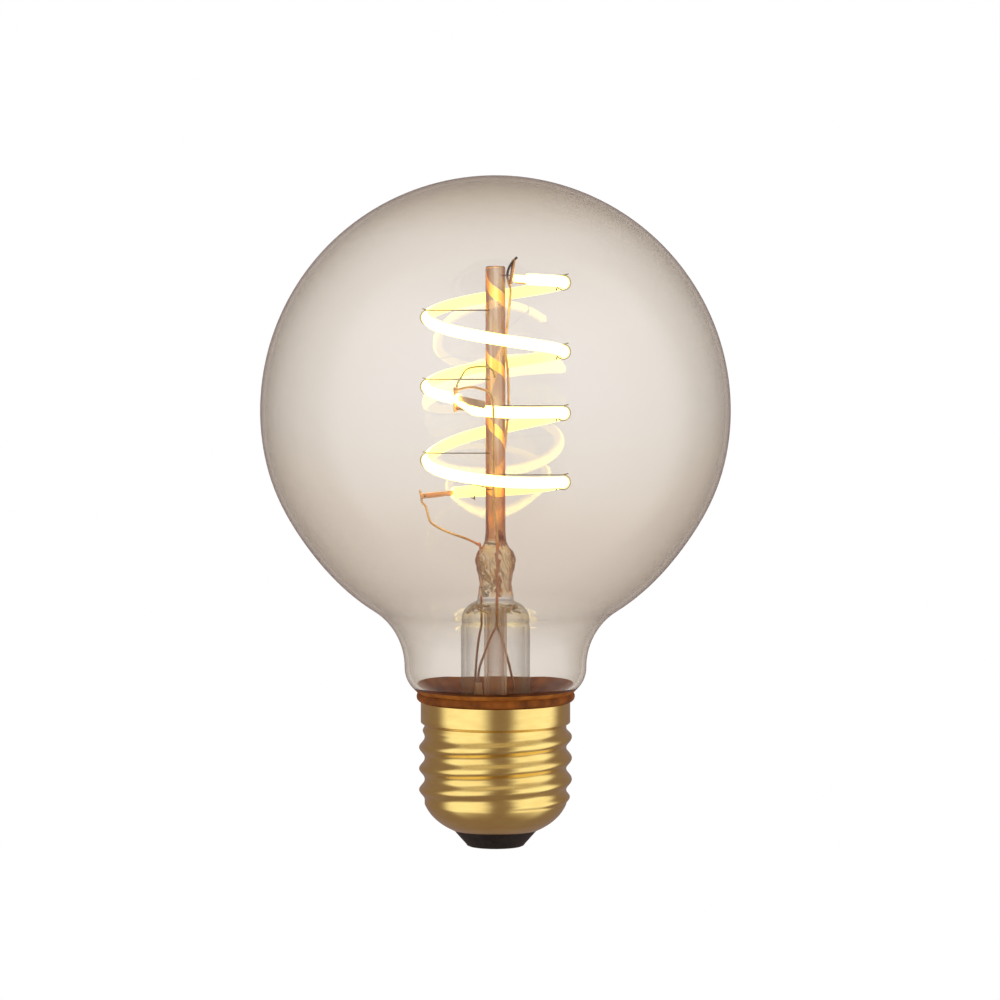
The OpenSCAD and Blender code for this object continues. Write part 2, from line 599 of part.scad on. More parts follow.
module driver_board() color([0.12, 0.35, 0.2]) difference() {
    translate([0, 0, board_z]) cylinder(r = board_r, h = board_t);
    for (xy = [top_foot, centre_foot, bottom_foot, neutral_xy])
        translate([xy[0], xy[1], board_z - touch]) cylinder(r = lead_r, h = board_t * 2);
}
module on_board(xy, size) translate([xy[0], xy[1], board_z + board_t])
    translate([-size[0] / 2, -size[1] / 2, 0]) cube(size);
module bridge_rectifier() color([0.12, 0.12, 0.12]) on_board(rectifier_xy, rectifier_size);
module driver_chip() color([0.15, 0.15, 0.16]) on_board(chip_xy, chip_size);
module under_board(xy, r, h) translate([xy[0], xy[1], board_z - h]) cylinder(r = r, h = h);
module storage_capacitor() color([0.15, 0.2, 0.35]) under_board(capacitor_xy, capacitor_r,
    capacitor_h);
module choke() color([0.3, 0.28, 0.26]) union() {
    under_board(choke_xy, choke_r, choke_h * 0.2);
    under_board(choke_xy, choke_r * 0.7, choke_h);
    translate([0, 0, -choke_h * 0.8]) under_board(choke_xy, choke_r, choke_h * 0.2);
}
module fuse_resistor() color([0.7, 0.65, 0.5]) under_board(fuse_xy, fuse_r, fuse_l);

live_path = [[fuse_xy[0], fuse_xy[1], board_z - fuse_l - touch],
    [fuse_xy[0], fuse_xy[1], board_z - fuse_l - lead_r],
    [fuse_xy[0], fuse_xy[1], board_z - fuse_l - lead_r * 2],
    [fuse_xy[0] * 0.7, fuse_xy[1] * 0.7, mix(insulator_top_z, board_z - fuse_l, 0.45)],
    [fuse_xy[0] * 0.2, fuse_xy[1] * 0.2, mix(insulator_top_z, board_z - fuse_l, 0.35)],
    [0, 0, insulator_top_z], [0, 0, insulator_top_z * 0.75], [0, 0, live_tip_z]];
module live_wire() color([0.75, 0.2, 0.15]) sweep(curve(live_path, 3), lead_r, wire_sides);

neutral_z = mix(board_z + board_t, neck_low_z, 0.75);
neutral_angle = atan2(neutral_xy[1], neutral_xy[0]);
neutral_end_r = (root_r - sheet_t) * facet_share - lead_r - touch;
function neutral_point(share, z) = let (r = mix(norm(neutral_xy), neutral_end_r, share))
    [r * cos(neutral_angle), r * sin(neutral_angle), z];
neutral_path = [neutral_point(0, board_z + touch),
    neutral_point(0, board_z + board_t + lead_r), neutral_point(0, board_z + board_t + lead_r * 2),
    neutral_point(0.15, mix(board_z + board_t, neutral_z, 0.4)),
    neutral_point(0.85, mix(board_z + board_t, neutral_z, 0.65)), neutral_point(1, neutral_z),
    neutral_point(1, neck_low_z)];
module neutral_wire() color([0.2, 0.3, 0.6]) sweep(curve(neutral_path, 3), lead_r, wire_sides);

glass_globe();
stem_flare();
exhaust_tube();
stem_pillar();
upper_strip();
lower_strip();
top_tab();
middle_tab();
joint_tab();
bottom_tab();
top_lead();
centre_lead();
bottom_lead();
joint_support();
right_hook_top();
right_hook_upper();
right_hook_middle();
right_hook_bottom();
left_hook_top();
left_hook_middle();
left_hook_bottom();
back_hook();
centre_sleeve();
top_sleeve();
bottom_sleeve();
basing_cement();
cap_shell();
cap_insulator();
centre_contact();
contact_solder();
driver_board();
bridge_rectifier();
driver_chip();
storage_capacitor();
choke();
fuse_resistor();
live_wire();
neutral_wire();
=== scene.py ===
"""A lit globe bulb with two spiral light strips, dressed over its CAD solids.

Every length in the dataclasses is in millimetres, as in the part's source, and goes to metres
where a mesh is made. The part has no joints, so each piece rides on the body "root".
"""

import logging
import math
import random
from dataclasses import dataclass, field
from enum import Enum
from typing import Callable, Iterable, Sequence

import bpy
from mathutils import Matrix, Vector

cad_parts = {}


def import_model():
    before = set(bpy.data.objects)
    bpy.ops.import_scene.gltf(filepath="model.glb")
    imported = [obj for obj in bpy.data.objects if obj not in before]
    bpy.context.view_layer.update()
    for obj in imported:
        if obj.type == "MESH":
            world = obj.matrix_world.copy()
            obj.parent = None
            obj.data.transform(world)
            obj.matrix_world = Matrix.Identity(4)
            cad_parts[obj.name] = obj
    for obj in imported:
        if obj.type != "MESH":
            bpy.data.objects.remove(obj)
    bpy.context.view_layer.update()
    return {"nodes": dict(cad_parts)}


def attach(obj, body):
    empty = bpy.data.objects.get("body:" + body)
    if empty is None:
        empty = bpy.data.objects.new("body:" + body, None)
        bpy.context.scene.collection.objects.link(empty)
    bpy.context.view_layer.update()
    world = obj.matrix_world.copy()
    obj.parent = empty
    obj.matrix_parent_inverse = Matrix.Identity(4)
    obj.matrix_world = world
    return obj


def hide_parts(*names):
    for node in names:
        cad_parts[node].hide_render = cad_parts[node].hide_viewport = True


LOG = logging.getLogger("globe_bulb")
MM = 0.001
BODY = "root"
Point = tuple[float, float, float]
Colour = tuple[float, float, float]


def mix(a: float, b: float, t: float) -> float:
    """Returns the value at share t between a and b."""
    return a + (b - a) * t


def ease(t: float) -> float:
    """Returns a smooth step from 0 to 1 as t goes from 0 to 1."""
    t = min(1.0, max(0.0, t))
    return t * t * (3 - 2 * t)


def smooth_keys(keys: Sequence[float], values: Sequence[float], x: float) -> float:
    """Reads a smooth curve through keys.

    Args:
        keys: rising places of the keys.
        values: the curve's value at each key.
        x: the place to read.

    Returns:
        The value at x.
    """
    last = len(keys) - 1
    i = next((k for k in range(last) if x <= keys[k + 1]), last - 1)

    def slope(k: int) -> float:
        """Returns the curve's slope at key k."""
        a, b = max(k - 1, 0), min(k + 1, last)
        return (values[b] - values[a]) / (keys[b] - keys[a])

    width = keys[i + 1] - keys[i]
    t = (x - keys[i]) / width
    a, b = slope(i) * width, slope(i + 1) * width
    p, q = values[i], values[i + 1]
    return p + a * t + (3 * (q - p) - 2 * a - b) * t**2 + (a + b - 2 * (q - p)) * t**3


def smooth_path(points: Sequence[Vector], steps: int) -> list[Vector]:
    """Draws a smooth path through points.

    Args:
        points: the points that the path goes through.
        steps: how many stretches each span is cut into.

    Returns:
        The path's own, closer points.
    """
    path: list[Vector] = []
    last = len(points) - 1
    for i in range(last):
        p, q = points[i], points[i + 1]
        a = (q - points[max(i - 1, 0)]) / 2
        b = (points[min(i + 2, last)] - p) / 2
        for j in range(steps):
            t = j / steps
            path.append(
                p + a * t + (3 * (q - p) - 2 * a - b) * t**2 + (a + b - 2 * (q - p)) * t**3
            )
    return path + [points[last].copy()]


def arc(centre: Sequence[float], radius: float, start: float, end: float, steps: int) -> list:
    """Lists the points of an arc in a profile.

    Args:
        centre: the arc's centre, as radius and height.
        radius: the arc's radius.
        start: angle of its first point in degrees.
        end: angle of its last point in degrees.
        steps: how many stretches it has.

    Returns:
        Points as (radius, height).
    """
    angles = [math.radians(mix(start, end, i / steps)) for i in range(steps + 1)]
    return [(centre[0] + radius * math.cos(a), centre[1] + radius * math.sin(a)) for a in angles]


# ---- meshes


def mesh_object(name: str, verts: Sequence[Point], faces: Sequence[Sequence[int]]) -> bpy.types.Object:
    """Makes a smooth-shaded object from points in millimetres.

    Args:
        name: name of the piece.
        verts: its points in millimetres.
        faces: its faces as lists of point numbers, seen from outside anticlockwise.

    Returns:
        The object, at the origin.
    """
    mesh = bpy.data.meshes.new(name)
    mesh.from_pydata([tuple(c * MM for c in v) for v in verts], [], faces)
    mesh.validate()
    mesh.polygons.foreach_set("use_smooth", [True] * len(mesh.polygons))
    mesh.update()
    obj = bpy.data.objects.new(name, mesh)
    bpy.context.scene.collection.objects.link(obj)
    return obj


def sharpen(obj: bpy.types.Object, degrees: float = 40.0) -> bpy.types.Object:
    """Marks edges sharper than an angle, so smooth shading stops at them.

    Args:
        obj: the object to mark.
        degrees: the angle between faces past which an edge is sharp.

    Returns:
        The same object.
    """
    obj.data.set_sharp_from_angle(angle=math.radians(degrees))
    return obj


class Turned:
    """A closed solid of rings round an axis, which may each have their own outline."""

    def __init__(self, segments: int = 96) -> None:
        """Keeps how many points each ring has."""
        self.segments = segments

    def build(
        self,
        name: str,
        profile: Sequence[tuple[float, float]],
        shape: Callable[[float, float, float], tuple[float, float]] | None = None,
        closed: bool = False,
    ) -> bpy.types.Object:
        """Turns a profile round the Z axis.

        Args:
            name: name of the piece.
            profile: points (radius, height), going up the outside; a radius of 0 is a pole.
            shape: gives x and y for a radius, height and angle, or None for a circle.
            closed: whether the profile's last ring joins its first, as on a hollow wall.

        Returns:
            The turned object.
        """
        n = self.segments
        place = shape or (lambda r, z, a: (r * math.cos(a), r * math.sin(a)))
        verts: list[Point] = []
        rings: list[list[int]] = []
        for r, z in profile:
            if r <= 1e-9:
                verts.append((0.0, 0.0, z))
                rings.append([len(verts) - 1])
                continue
            start = len(verts)
            for k in range(n):
                x, y = place(r, z, 2 * math.pi * k / n)
                verts.append((x, y, z))
            rings.append(list(range(start, start + n)))
        faces: list[list[int]] = []
        pairs = list(zip(rings, rings[1:] + rings[:1] if closed else rings[1:]))
        for low, high in pairs:
            for k in range(n):
                q = (k + 1) % n
                if len(low) == 1 and len(high) == 1:
                    continue
                if len(low) == 1:
                    faces.append([low[0], high[q], high[k]])
                elif len(high) == 1:
                    faces.append([low[k], low[q], high[0]])
                else:
                    faces.append([low[k], low[q], high[q], high[k]])
        if not closed:
            if len(rings[0]) > 1:
                faces.append(list(reversed(rings[0])))
            if len(rings[-1]) > 1:
                faces.append(list(rings[-1]))
        return mesh_object(name, verts, faces)


def join(name: str, objects: Iterable[bpy.types.Object]) -> bpy.types.Object:
    """Joins meshes into one object and keeps their materials.

    Args:
        name: name of the joined piece.
        objects: the objects to join, which are removed.

    Returns:
        The joined object.
    """
    verts: list[Point] = []
    faces: list[list[int]] = []
    looks: list[bpy.types.Material] = []
    picks: list[int] = []
    smooth: list[bool] = []
    for obj in list(objects):
        start = len(verts)
        verts += [tuple(c / MM for c in v.co) for v in obj.data.vertices]
        slots = [m for m in obj.data.materials] or [None]
        for m in slots:
            if m not in looks:
                looks.append(m)
        for p in obj.data.polygons:
            faces.append([start + i for i in p.vertices])
            picks.append(looks.index(slots[min(p.material_index, len(slots) - 1)]))
            smooth.append(p.use_smooth)
        bpy.data.objects.remove(obj)
    joined = mesh_object(name, verts, faces)
    for m in looks:
        joined.data.materials.append(m)
    if len(joined.data.polygons) == len(picks):
        joined.data.polygons.foreach_set("material_index", picks)
        joined.data.polygons.foreach_set("use_smooth", smooth)
    return joined


def plate(
    name: str, start: Vector, along: Vector, length: float, width: float, thickness: float,
    notch: float = 0.0,
) -> bpy.types.Object:
    """Makes a stamped sheet tab that leaves a point, with its width upright.

    Args:
        name: name of the piece.
        start: middle of its first end in millimetres.
        along: the direction it runs in.
        length: its length.
        width: its upright width.
        thickness: its thickness.
        notch: depth of the two small notches near its first end, or 0 for none.

    Returns:
        The tab, with its edges rounded over.
    """
    t = along.normalized()
    side = Vector((-t.y, t.x, 0)).normalized()
    up = t.cross(side)
    h = width / 2
    outline = [(0.0, -h * 0.8), (length * 0.1, -h)]
    outline += [(length * 0.2, -h), (length * 0.24, -h + notch), (length * 0.3, -h)] if notch else []
    outline += [(length - h * 0.7, -h), (length - h * 0.2, -h * 0.75), (length, -h * 0.2)]
    outline += [(length, h * 0.2), (length - h * 0.2, h * 0.75), (length - h * 0.7, h)]
    outline += [(length * 0.3, h), (length * 0.24, h - notch), (length * 0.2, h)] if notch else []
    outline += [(length * 0.1, h), (0.0, h * 0.8)]
    n = len(outline)
    verts: list[Point] = []
    for s in (-thickness / 2, thickness / 2):
        verts += [tuple(start + t * x + up * y + side * s) for x, y in outline]
    faces = [list(range(n - 1, -1, -1)), list(range(n, 2 * n))]
    faces += [[k, (k + 1) % n, n + (k + 1) % n, n + k] for k in range(n)]
    obj = mesh_object(name, verts, [list(reversed(f)) for f in faces])
    bevel = obj.modifiers.new("edge", "BEVEL")
    bevel.width = thickness * 0.25 * MM
    bevel.segments = 2
    return sharpen(bake(obj), 50)


def bake(obj: bpy.types.Object) -> bpy.types.Object:
    """Turns an object's modifiers into a plain mesh and removes them.

    Args:
        obj: the object, which may also be a curve.

    Returns:
        A mesh object of the same name.
    """
    bpy.context.view_layer.update()
    depsgraph = bpy.context.evaluated_depsgraph_get()
    mesh = bpy.data.meshes.new_from_object(obj.evaluated_get(depsgraph))
    name = obj.name
    bpy.data.objects.remove(obj)
    mesh.name = name
    baked = bpy.data.objects.new(name, mesh)
    bpy.context.scene.collection.objects.link(baked)
    return baked


# ---- Geometry Nodes


class NodeGroup:
    """A Geometry Nodes tree with named inputs that ends in Realize Instances and Set Material."""

    def __init__(self, name: str, sizes: dict[str, tuple[str, float]]) -> None:
        """Makes the tree's inputs.

        Args:
            name: name of the tree.
            sizes: for each named input, its socket kind and its default value.
        """
        self.tree = bpy.data.node_groups.new(name, "GeometryNodeTree")
        face = self.tree.interface
        face.new_socket("Geometry", in_out="INPUT", socket_type="NodeSocketGeometry")
        for label, (kind, value) in sizes.items():
            face.new_socket(label, in_out="INPUT", socket_type=kind).default_value = value
        face.new_socket("Finish", in_out="INPUT", socket_type="NodeSocketMaterial")
        face.new_socket("Geometry", in_out="OUTPUT", socket_type="NodeSocketGeometry")
        self.start = self.tree.nodes.new("NodeGroupInput")

    def add(self, kind: str, links: dict[str, object], **settings: object) -> bpy.types.Node:
        """Adds a node and fills its inputs.

        Args:
            kind: Blender's name of the node.
            links: for each named input, a socket to link or a value to set.
            settings: properties of the node itself.

        Returns:
            The node.
        """
        node = self.tree.nodes.new(kind)
        for key, value in settings.items():
            setattr(node, key, value)
        for label, value in links.items():
            socket = node.inputs[label]
            if isinstance(value, bpy.types.NodeSocket):
                self.tree.links.new(value, socket)
            else:
                socket.default_value = value
        return node

    def end(self, geometry: bpy.types.NodeSocket) -> None:
        """Closes the tree with smooth shading, Realize Instances and Set Material."""
        smooth = self.add("GeometryNodeSetShadeSmooth", {"Geometry": geometry})
        real = self.add("GeometryNodeRealizeInstances", {"Geometry": smooth.outputs[0]})
        dressed = self.add(
            "GeometryNodeSetMaterial",
            {"Geometry": real.outputs[0], "Material": self.start.outputs["Finish"]},
        )
        out = self.tree.nodes.new("NodeGroupOutput")
        self.tree.links.new(dressed.outputs[0], out.inputs["Geometry"])

    def apply(
        self, obj: bpy.types.Object, finish: bpy.types.Material, sizes: dict[str, float]
    ) -> bpy.types.Object:
        """Runs the tree on an object and bakes the result.

        Args:
            obj: the curve or mesh that the tree works on.
            finish: the material that Set Material gives.
            sizes: values of the named inputs.

        Returns:
            The baked mesh object.
        """
        modifier = obj.modifiers.new("form", "NODES")
        modifier.node_group = self.tree
        for item in self.tree.interface.items_tree:
            if item.in_out == "INPUT" and item.name in sizes:
                modifier[item.identifier] = sizes[item.name]
            if item.in_out == "INPUT" and item.name == "Finish":
                modifier[item.identifier] = finish
        return bake(obj)


class RoundSweep(NodeGroup):
    """Runs a round section along a curve, as on a wire or a light strip."""

    def __init__(self) -> None:
        """Builds the tree."""
        super().__init__(
            "round_sweep", {"Radius": ("NodeSocketFloat", 0.2 * MM), "Sides": ("NodeSocketInt", 12)}
        )
        section = self.add(
            "GeometryNodeCurvePrimitiveCircle",
            {"Resolution": self.start.outputs["Sides"], "Radius": self.start.outputs["Radius"]},
        )
        swept = self.add(
            "GeometryNodeCurveToMesh",
            {"Curve": self.start.outputs["Geometry"], "Profile Curve": section.outputs["Curve"],
             "Fill Caps": True},
        )
        self.end(swept.outputs["Mesh"])

    def along(
        self, name: str, path: Sequence[Vector], radius: float, sides: int,
        finish: bpy.types.Material,
    ) -> bpy.types.Object:
        """Sweeps a round section along a path in millimetres.

        Args:
            name: name of the piece.
            path: the points the middle line goes through.
            radius: radius of the section in millimetres.
            sides: points round the section.
            finish: its material.

        Returns:
            The swept mesh object.
        """
        curve = bpy.data.curves.new(name, "CURVE")
        curve.dimensions = "3D"
        spline = curve.splines.new("POLY")
        spline.points.add(len(path) - 1)
        for point, place in zip(spline.points, path):
            point.co = (*(c * MM for c in place), 1.0)
        obj = bpy.data.objects.new(name, curve)
        bpy.context.scene.collection.objects.link(obj)
        return self.apply(obj, finish, {"Radius": radius * MM, "Sides": sides})


# ---- finishes


class Shader:
    """A material's node tree, with short ways to add and link nodes."""

    def __init__(self, name: str) -> None:
        """Makes a material with one Principled shader."""
        self.material = bpy.data.materials.new(name)
        self.material.use_nodes = True
        self.tree = self.material.node_tree
        self.surface = self.tree.nodes["Principled BSDF"]
        self.output = self.tree.nodes["Material Output"]

    def add(self, kind: str, links: dict[str, object] | None = None, **settings: object) -> bpy.types.Node:
        """Adds a node, sets its properties and fills its inputs.

        Args:
            kind: Blender's name of the node.
            links: for each named input, a socket to link or a value to set.
            settings: properties of the node itself.

        Returns:
            The node.
        """
        node = self.tree.nodes.new(kind)
        for key, value in settings.items():
            setattr(node, key, value)
        for label, value in (links or {}).items():
            self.feed(node.inputs[label], value)
        return node

    def feed(self, socket: bpy.types.NodeSocket, value: object) -> None:
        """Links a socket to another, or sets its own value."""
        if isinstance(value, bpy.types.NodeSocket):
            self.tree.links.new(value, socket)
        else:
            socket.default_value = value

    def set(self, **values: object) -> None:
        """Fills inputs of the Principled shader, with _ for a space in their names."""
        for label, value in values.items():
            self.feed(self.surface.inputs[label.replace("_", " ")], value)

    def place(self) -> bpy.types.NodeSocket:
        """Returns the Object coordinates."""
        return self.add("ShaderNodeTexCoord").outputs["Object"]

    def noise(self, scale: float, detail: float = 3.0, stretch: Point = (1.0, 1.0, 1.0)) -> bpy.types.NodeSocket:
        """Adds noise on Object coordinates.

        Args:
            scale: how fine it is, in waves to a metre.
            detail: how many finer layers it has.
            stretch: scale along each axis.

        Returns:
            Its value from 0 to 1.
        """
        spread = self.add("ShaderNodeMapping", {"Vector": self.place(), "Scale": stretch})
        return self.add(
            "ShaderNodeTexNoise", {"Vector": spread.outputs[0], "Scale": scale, "Detail": detail}
        ).outputs["Fac"]

    def ramp(self, value: bpy.types.NodeSocket, stops: Sequence[tuple[float, Colour]]) -> bpy.types.NodeSocket:
        """Maps a value to colours.

        Args:
            value: the value to map.
            stops: places from 0 to 1, each with a linear colour.

        Returns:
            The colour.
        """
        node = self.add("ShaderNodeValToRGB", {"Fac": value})
        ramp = node.color_ramp
        while len(ramp.elements) < len(stops):
            ramp.elements.new(0.5)
        for element, (at, colour) in zip(ramp.elements, stops):
            element.position = at
            element.color = (*colour, 1.0)
        return node.outputs["Color"]

    def between(self, value: bpy.types.NodeSocket, low: float, high: float) -> bpy.types.NodeSocket:
        """Spreads a value from 0 to 1 over a range."""
        return self.add("ShaderNodeMapRange", {"Value": value, "To Min": low, "To Max": high}).outputs[0]

    def bump(self, height: bpy.types.NodeSocket, distance: float, strength: float = 0.3) -> None:
        """Gives the surface a bump of a real depth in millimetres."""
        node = self.add(
            "ShaderNodeBump", {"Height": height, "Distance": distance * MM, "Strength": strength}
        )
        self.set(Normal=node.outputs[0])


@dataclass(frozen=True)
class ClearGlass:
    """Blown or drawn glass that swallows a little light in its depth, and is painted darker where it is grazed, as
    painted shade for the dark surroundings it refracts.
    """

    name: str
    loss: Colour | None
    # rim: painted edge shade, the colour the glass is painted where it is grazed
    rim: Colour
    body: Colour = (1.0, 1.0, 1.0)
    edge_shade_reach: float = 0.9
    power: float = 2.2
    ripple: float = 0.02
    waves: float = 55.0
    wrinkle: float = 0.0
    layers: tuple[tuple[float, Colour], ...] = ()
    streak: Colour | None = None
    drawn: Point = (1.0, 1.0, 0.05)
    mirror_low: float = 1.0
    clarity: float = 1.0

    def tint(self, s: Shader) -> bpy.types.NodeSocket:
        """Adds the glass's tint: clear face on, painted darker towards the rim's colour where it is grazed, as painted
        edge shade.

        Args:
            s: the shader.

        Returns:
            The tint's colour.
        """
        # Painted shade: the tint darkens by Layer Weight towards the edges, standing in for the dark surroundings seen
        # there.
        graze = s.add("ShaderNodeLayerWeight", {"Blend": 0.5}).outputs["Facing"]
        stops = []
        for facing in (0.0, 0.15, 0.3, 0.46, 0.625, 0.86, 1.0):
            share = min(1.2, (facing / self.edge_shade_reach) ** self.power)
            stops.append((facing, tuple(max(0.05, mix(b, c, share)) for b, c in zip(self.body, self.rim))))
        colour = s.ramp(graze, stops)
        if self.streak:
            lines = s.noise(700, 2.0, self.drawn)
            bands = s.ramp(lines, [(0.36, (1, 1, 1)), (0.5, self.streak), (0.6, (1, 0.97, 0.93)), (0.68, self.streak)])
            colour = self.times(s, colour, bands)
        if not self.layers:
            return colour
        return self.times(s, colour, self.by_height(s, self.layers))

    def times(self, s: Shader, a: bpy.types.NodeSocket, b: bpy.types.NodeSocket) -> bpy.types.NodeSocket:
        """Multiplies two colours."""
        both = s.tree.nodes.new("ShaderNodeMix")
        both.data_type, both.blend_type = "RGBA", "MULTIPLY"
        s.feed(both.inputs[0], 1.0)
        s.feed(both.inputs[6], a)
        s.feed(both.inputs[7], b)
        return both.outputs[2]

    def by_height(self, s: Shader, layers: Sequence[tuple[float, Colour]]) -> bpy.types.NodeSocket:
        """Adds a colour that changes with height.

        Args:
            s: the shader.
            layers: heights in millimetres, each with its colour.

        Returns:
            The colour.
        """
        low, high = layers[0][0], layers[-1][0]
        z = s.add("ShaderNodeSeparateXYZ", {0: s.place()}).outputs["Z"]
        share = s.add("ShaderNodeMapRange", {"Value": z, "From Min": low * MM, "From Max": high * MM})
        return s.ramp(share.outputs[0], [((h - low) / (high - low), c) for h, c in layers])

    def waviness(self, s: Shader) -> None:
        """Gives the glass its slow ripple or, in the press, its fine wrinkles."""
        if self.wrinkle:
            s.bump(s.noise(900, 2.0, (1, 1, 0.4)), self.wrinkle, 1.0)
        else:
            s.bump(s.noise(self.waves, 2.0, (1, 1, 0.45)), self.ripple, 0.25)

    def make(self) -> bpy.types.Material:
        """Builds the material.

        Returns:
            Glass whose loss is what each millimetre takes of red, green and blue, where it has
            one; rim is the colour it is painted where grazed, painted shade for the dark surroundings it refracts.
            Shadow rays pass through it.
        """
        s = Shader(self.name)
        s.set(Base_Color=self.tint(s), Roughness=0.0, IOR=1.5, Transmission_Weight=self.clarity)
        if self.mirror_low < 1:
            low = (self.mirror_low,) * 3
            s.set(Specular_Tint=self.by_height(s, [(17.0, low), (29.0, low), (38.0, (1.0, 1.0, 1.0)), (40.0, (1.0, 1.0, 1.0))]))
        self.waviness(s)
        through = s.add("ShaderNodeBsdfTransparent", {"Color": (0.97, 0.96, 0.95, 1)})
        blend = s.add("ShaderNodeMixShader", {0: s.add("ShaderNodeLightPath").outputs["Is Shadow Ray"]})
        s.feed(blend.inputs[1], s.surface.outputs[0])
        s.feed(blend.inputs[2], through.outputs[0])
        s.feed(s.output.inputs["Surface"], blend.outputs[0])
        if self.loss is None:
            return s.material
        density = max(self.loss) * 1000 * 2.5
        colour = [1 - c * 1000 / density for c in self.loss]
        depth = s.tree.nodes.new("ShaderNodeVolumeAbsorption")
        depth.inputs["Color"].default_value = (*colour, 1)
        depth.inputs["Density"].default_value = density
        s.tree.links.new(depth.outputs[0], s.output.inputs["Volume"])
        return s.material


@dataclass(frozen=True)
class ThinTube:
    """A thin tube that is seen through, denser towards its edges."""

    name: str
    colour: Colour
    dark: Colour
    middle: float
    edge: float
    roughness: float = 0.05
    power: float = 1.0

    def make(self) -> bpy.types.Material:
        """Builds the material."""
        s = Shader(self.name)
        graze = s.add("ShaderNodeLayerWeight", {"Blend": 0.5}).outputs["Facing"]
        graze = s.add("ShaderNodeMath", {0: graze, 1: self.power}, operation="POWER").outputs[0]
        cloud = s.noise(500, 3.0, (1, 1, 0.3))
        s.set(
            Base_Color=s.ramp(cloud, [(0.35, self.colour), (0.7, self.dark)]), IOR=1.45,
            Roughness=s.between(cloud, self.roughness, self.roughness * 1.6),
            Alpha=s.between(graze, self.middle, self.edge),
        )
        s.bump(s.noise(900, 2.0, (1, 1, 0.4)), 0.03)
        return s.material


@dataclass(frozen=True)
class StripGlow:
    """Lit silicone: the face that looks out of the spiral is brighter than its back."""

    name: str = "lit_silicone"
    face_colour: Colour = (1.0, 0.84, 0.16)
    back_colour: Colour = (1.0, 0.88, 0.265)
    face: float = 8.0
    back: float = 1.9

    def make(self) -> bpy.types.Material:
        """Builds the material."""
        s = Shader(self.name)
        grain = s.noise(900, 2.0)
        s.set(
            Base_Color=s.ramp(grain, [(0.3, (0.8, 0.52, 0.09)), (0.7, (0.9, 0.62, 0.13))]),
            Roughness=s.between(grain, 0.3, 0.45), Subsurface_Weight=0.2,
            Subsurface_Scale=0.5 * MM, Coat_Weight=0.3, Coat_Roughness=0.15,
        )
        place = s.place()
        flat = s.add("ShaderNodeVectorMath", {0: place, 1: (1, 1, 0)}, operation="MULTIPLY")
        out = s.add("ShaderNodeVectorMath", {0: flat.outputs[0]}, operation="NORMALIZE")
        normal = s.add("ShaderNodeTexCoord").outputs["Normal"]
        facing = s.add("ShaderNodeVectorMath", {0: normal, 1: out.outputs[0]}, operation="DOT_PRODUCT")
        share = s.add(
            "ShaderNodeMapRange",
            {"Value": facing.outputs["Value"], "From Min": -0.25, "From Max": 0.55},
            interpolation_type="SMOOTHSTEP",
        )
        power = s.add("ShaderNodeMapRange", {"Value": share.outputs[0], "To Min": self.back, "To Max": self.face})
        colour = s.ramp(share.outputs[0], [(0.0, self.back_colour), (1.0, self.face_colour)])
        s.set(Emission_Color=colour, Emission_Strength=power.outputs[0])
        s.bump(s.noise(700, 2.0), 0.05)
        return s.material


@dataclass(frozen=True)
class Metal:
    """A metal with uneven tarnish and fine marks."""

    name: str
    clean: Colour
    worn: Colour
    low: float
    high: float
    scale: float = 400.0
    grain: Point = (1.0, 1.0, 1.0)
    depth: float = 0.01
    lacquer: float = 0.0

    def make(self) -> bpy.types.Material:
        """Builds the material."""
        s = Shader(self.name)
        tarnish = s.noise(self.scale, 4.0, self.grain)
        s.set(
            Base_Color=s.ramp(tarnish, [(0.35, self.clean), (0.75, self.worn)]),
            Metallic=1.0, Roughness=s.between(tarnish, self.low, self.high),
            Coat_Weight=self.lacquer, Coat_Roughness=0.12,
        )
        s.bump(s.noise(self.scale * 4, 3.0, self.grain), self.depth)
        return s.material


@dataclass(frozen=True)
class LeadMetal:
    """Copper-clad lead wire, which turns red where it is sealed in the glass press."""

    name: str = "copper_clad_wire"
    open_colour: Colour = (0.84, 0.56, 0.27)
    dark_colour: Colour = (0.5, 0.26, 0.1)
    sealed_colour: Colour = (0.75, 0.27, 0.11)
    low_colour: Colour = (0.42, 0.2, 0.09)
    seal: tuple[float, float] = (41.0, 52.0)
    burnt_colour: Colour = (0.05, 0.035, 0.03)
    burnt: tuple[float, float] = (97.2, 98.6)

    def make(self) -> bpy.types.Material:
        """Builds the material."""
        s = Shader(self.name)
        height = s.add("ShaderNodeSeparateXYZ", {0: s.place()}).outputs["Z"]
        low, high = (z * MM for z in self.seal)
        enter = s.add("ShaderNodeMapRange", {"Value": height, "From Min": low - MM, "From Max": low})
        leave = s.add("ShaderNodeMapRange", {"Value": height, "From Min": high + MM, "From Max": high})
        inside = s.add("ShaderNodeMath", {0: enter.outputs[0], 1: leave.outputs[0]}, operation="MULTIPLY")
        tarnish = s.ramp(s.noise(500, 4.0), [(0.35, self.open_colour), (0.7, self.dark_colour)])
        under = s.add("ShaderNodeMapRange", {"Value": height, "From Min": low, "From Max": low - 1.5 * MM})
        tarnish = self.blend(s, under.outputs[0], tarnish, self.low_colour)
        colour = self.blend(s, inside.outputs[0], tarnish, self.sealed_colour)
        burnt = s.add("ShaderNodeMapRange", {"Value": height, "From Min": self.burnt[0] * MM, "From Max": self.burnt[1] * MM})
        colour = self.blend(s, burnt.outputs[0], colour, self.burnt_colour)
        s.set(Base_Color=colour, Metallic=0.55, Roughness=s.between(s.noise(900), 0.25, 0.5))
        s.bump(s.noise(2500, 2.0), 0.01)
        return s.material

    def blend(
        self, s: Shader, share: bpy.types.NodeSocket, base: bpy.types.NodeSocket, over: Colour
    ) -> bpy.types.NodeSocket:
        """Mixes a colour into the wire's own by a share."""
        node = s.tree.nodes.new("ShaderNodeMix")
        node.data_type = "RGBA"
        s.feed(node.inputs[0], share)
        s.feed(node.inputs[6], base)
        s.feed(node.inputs[7], (*over, 1))
        return node.outputs[2]


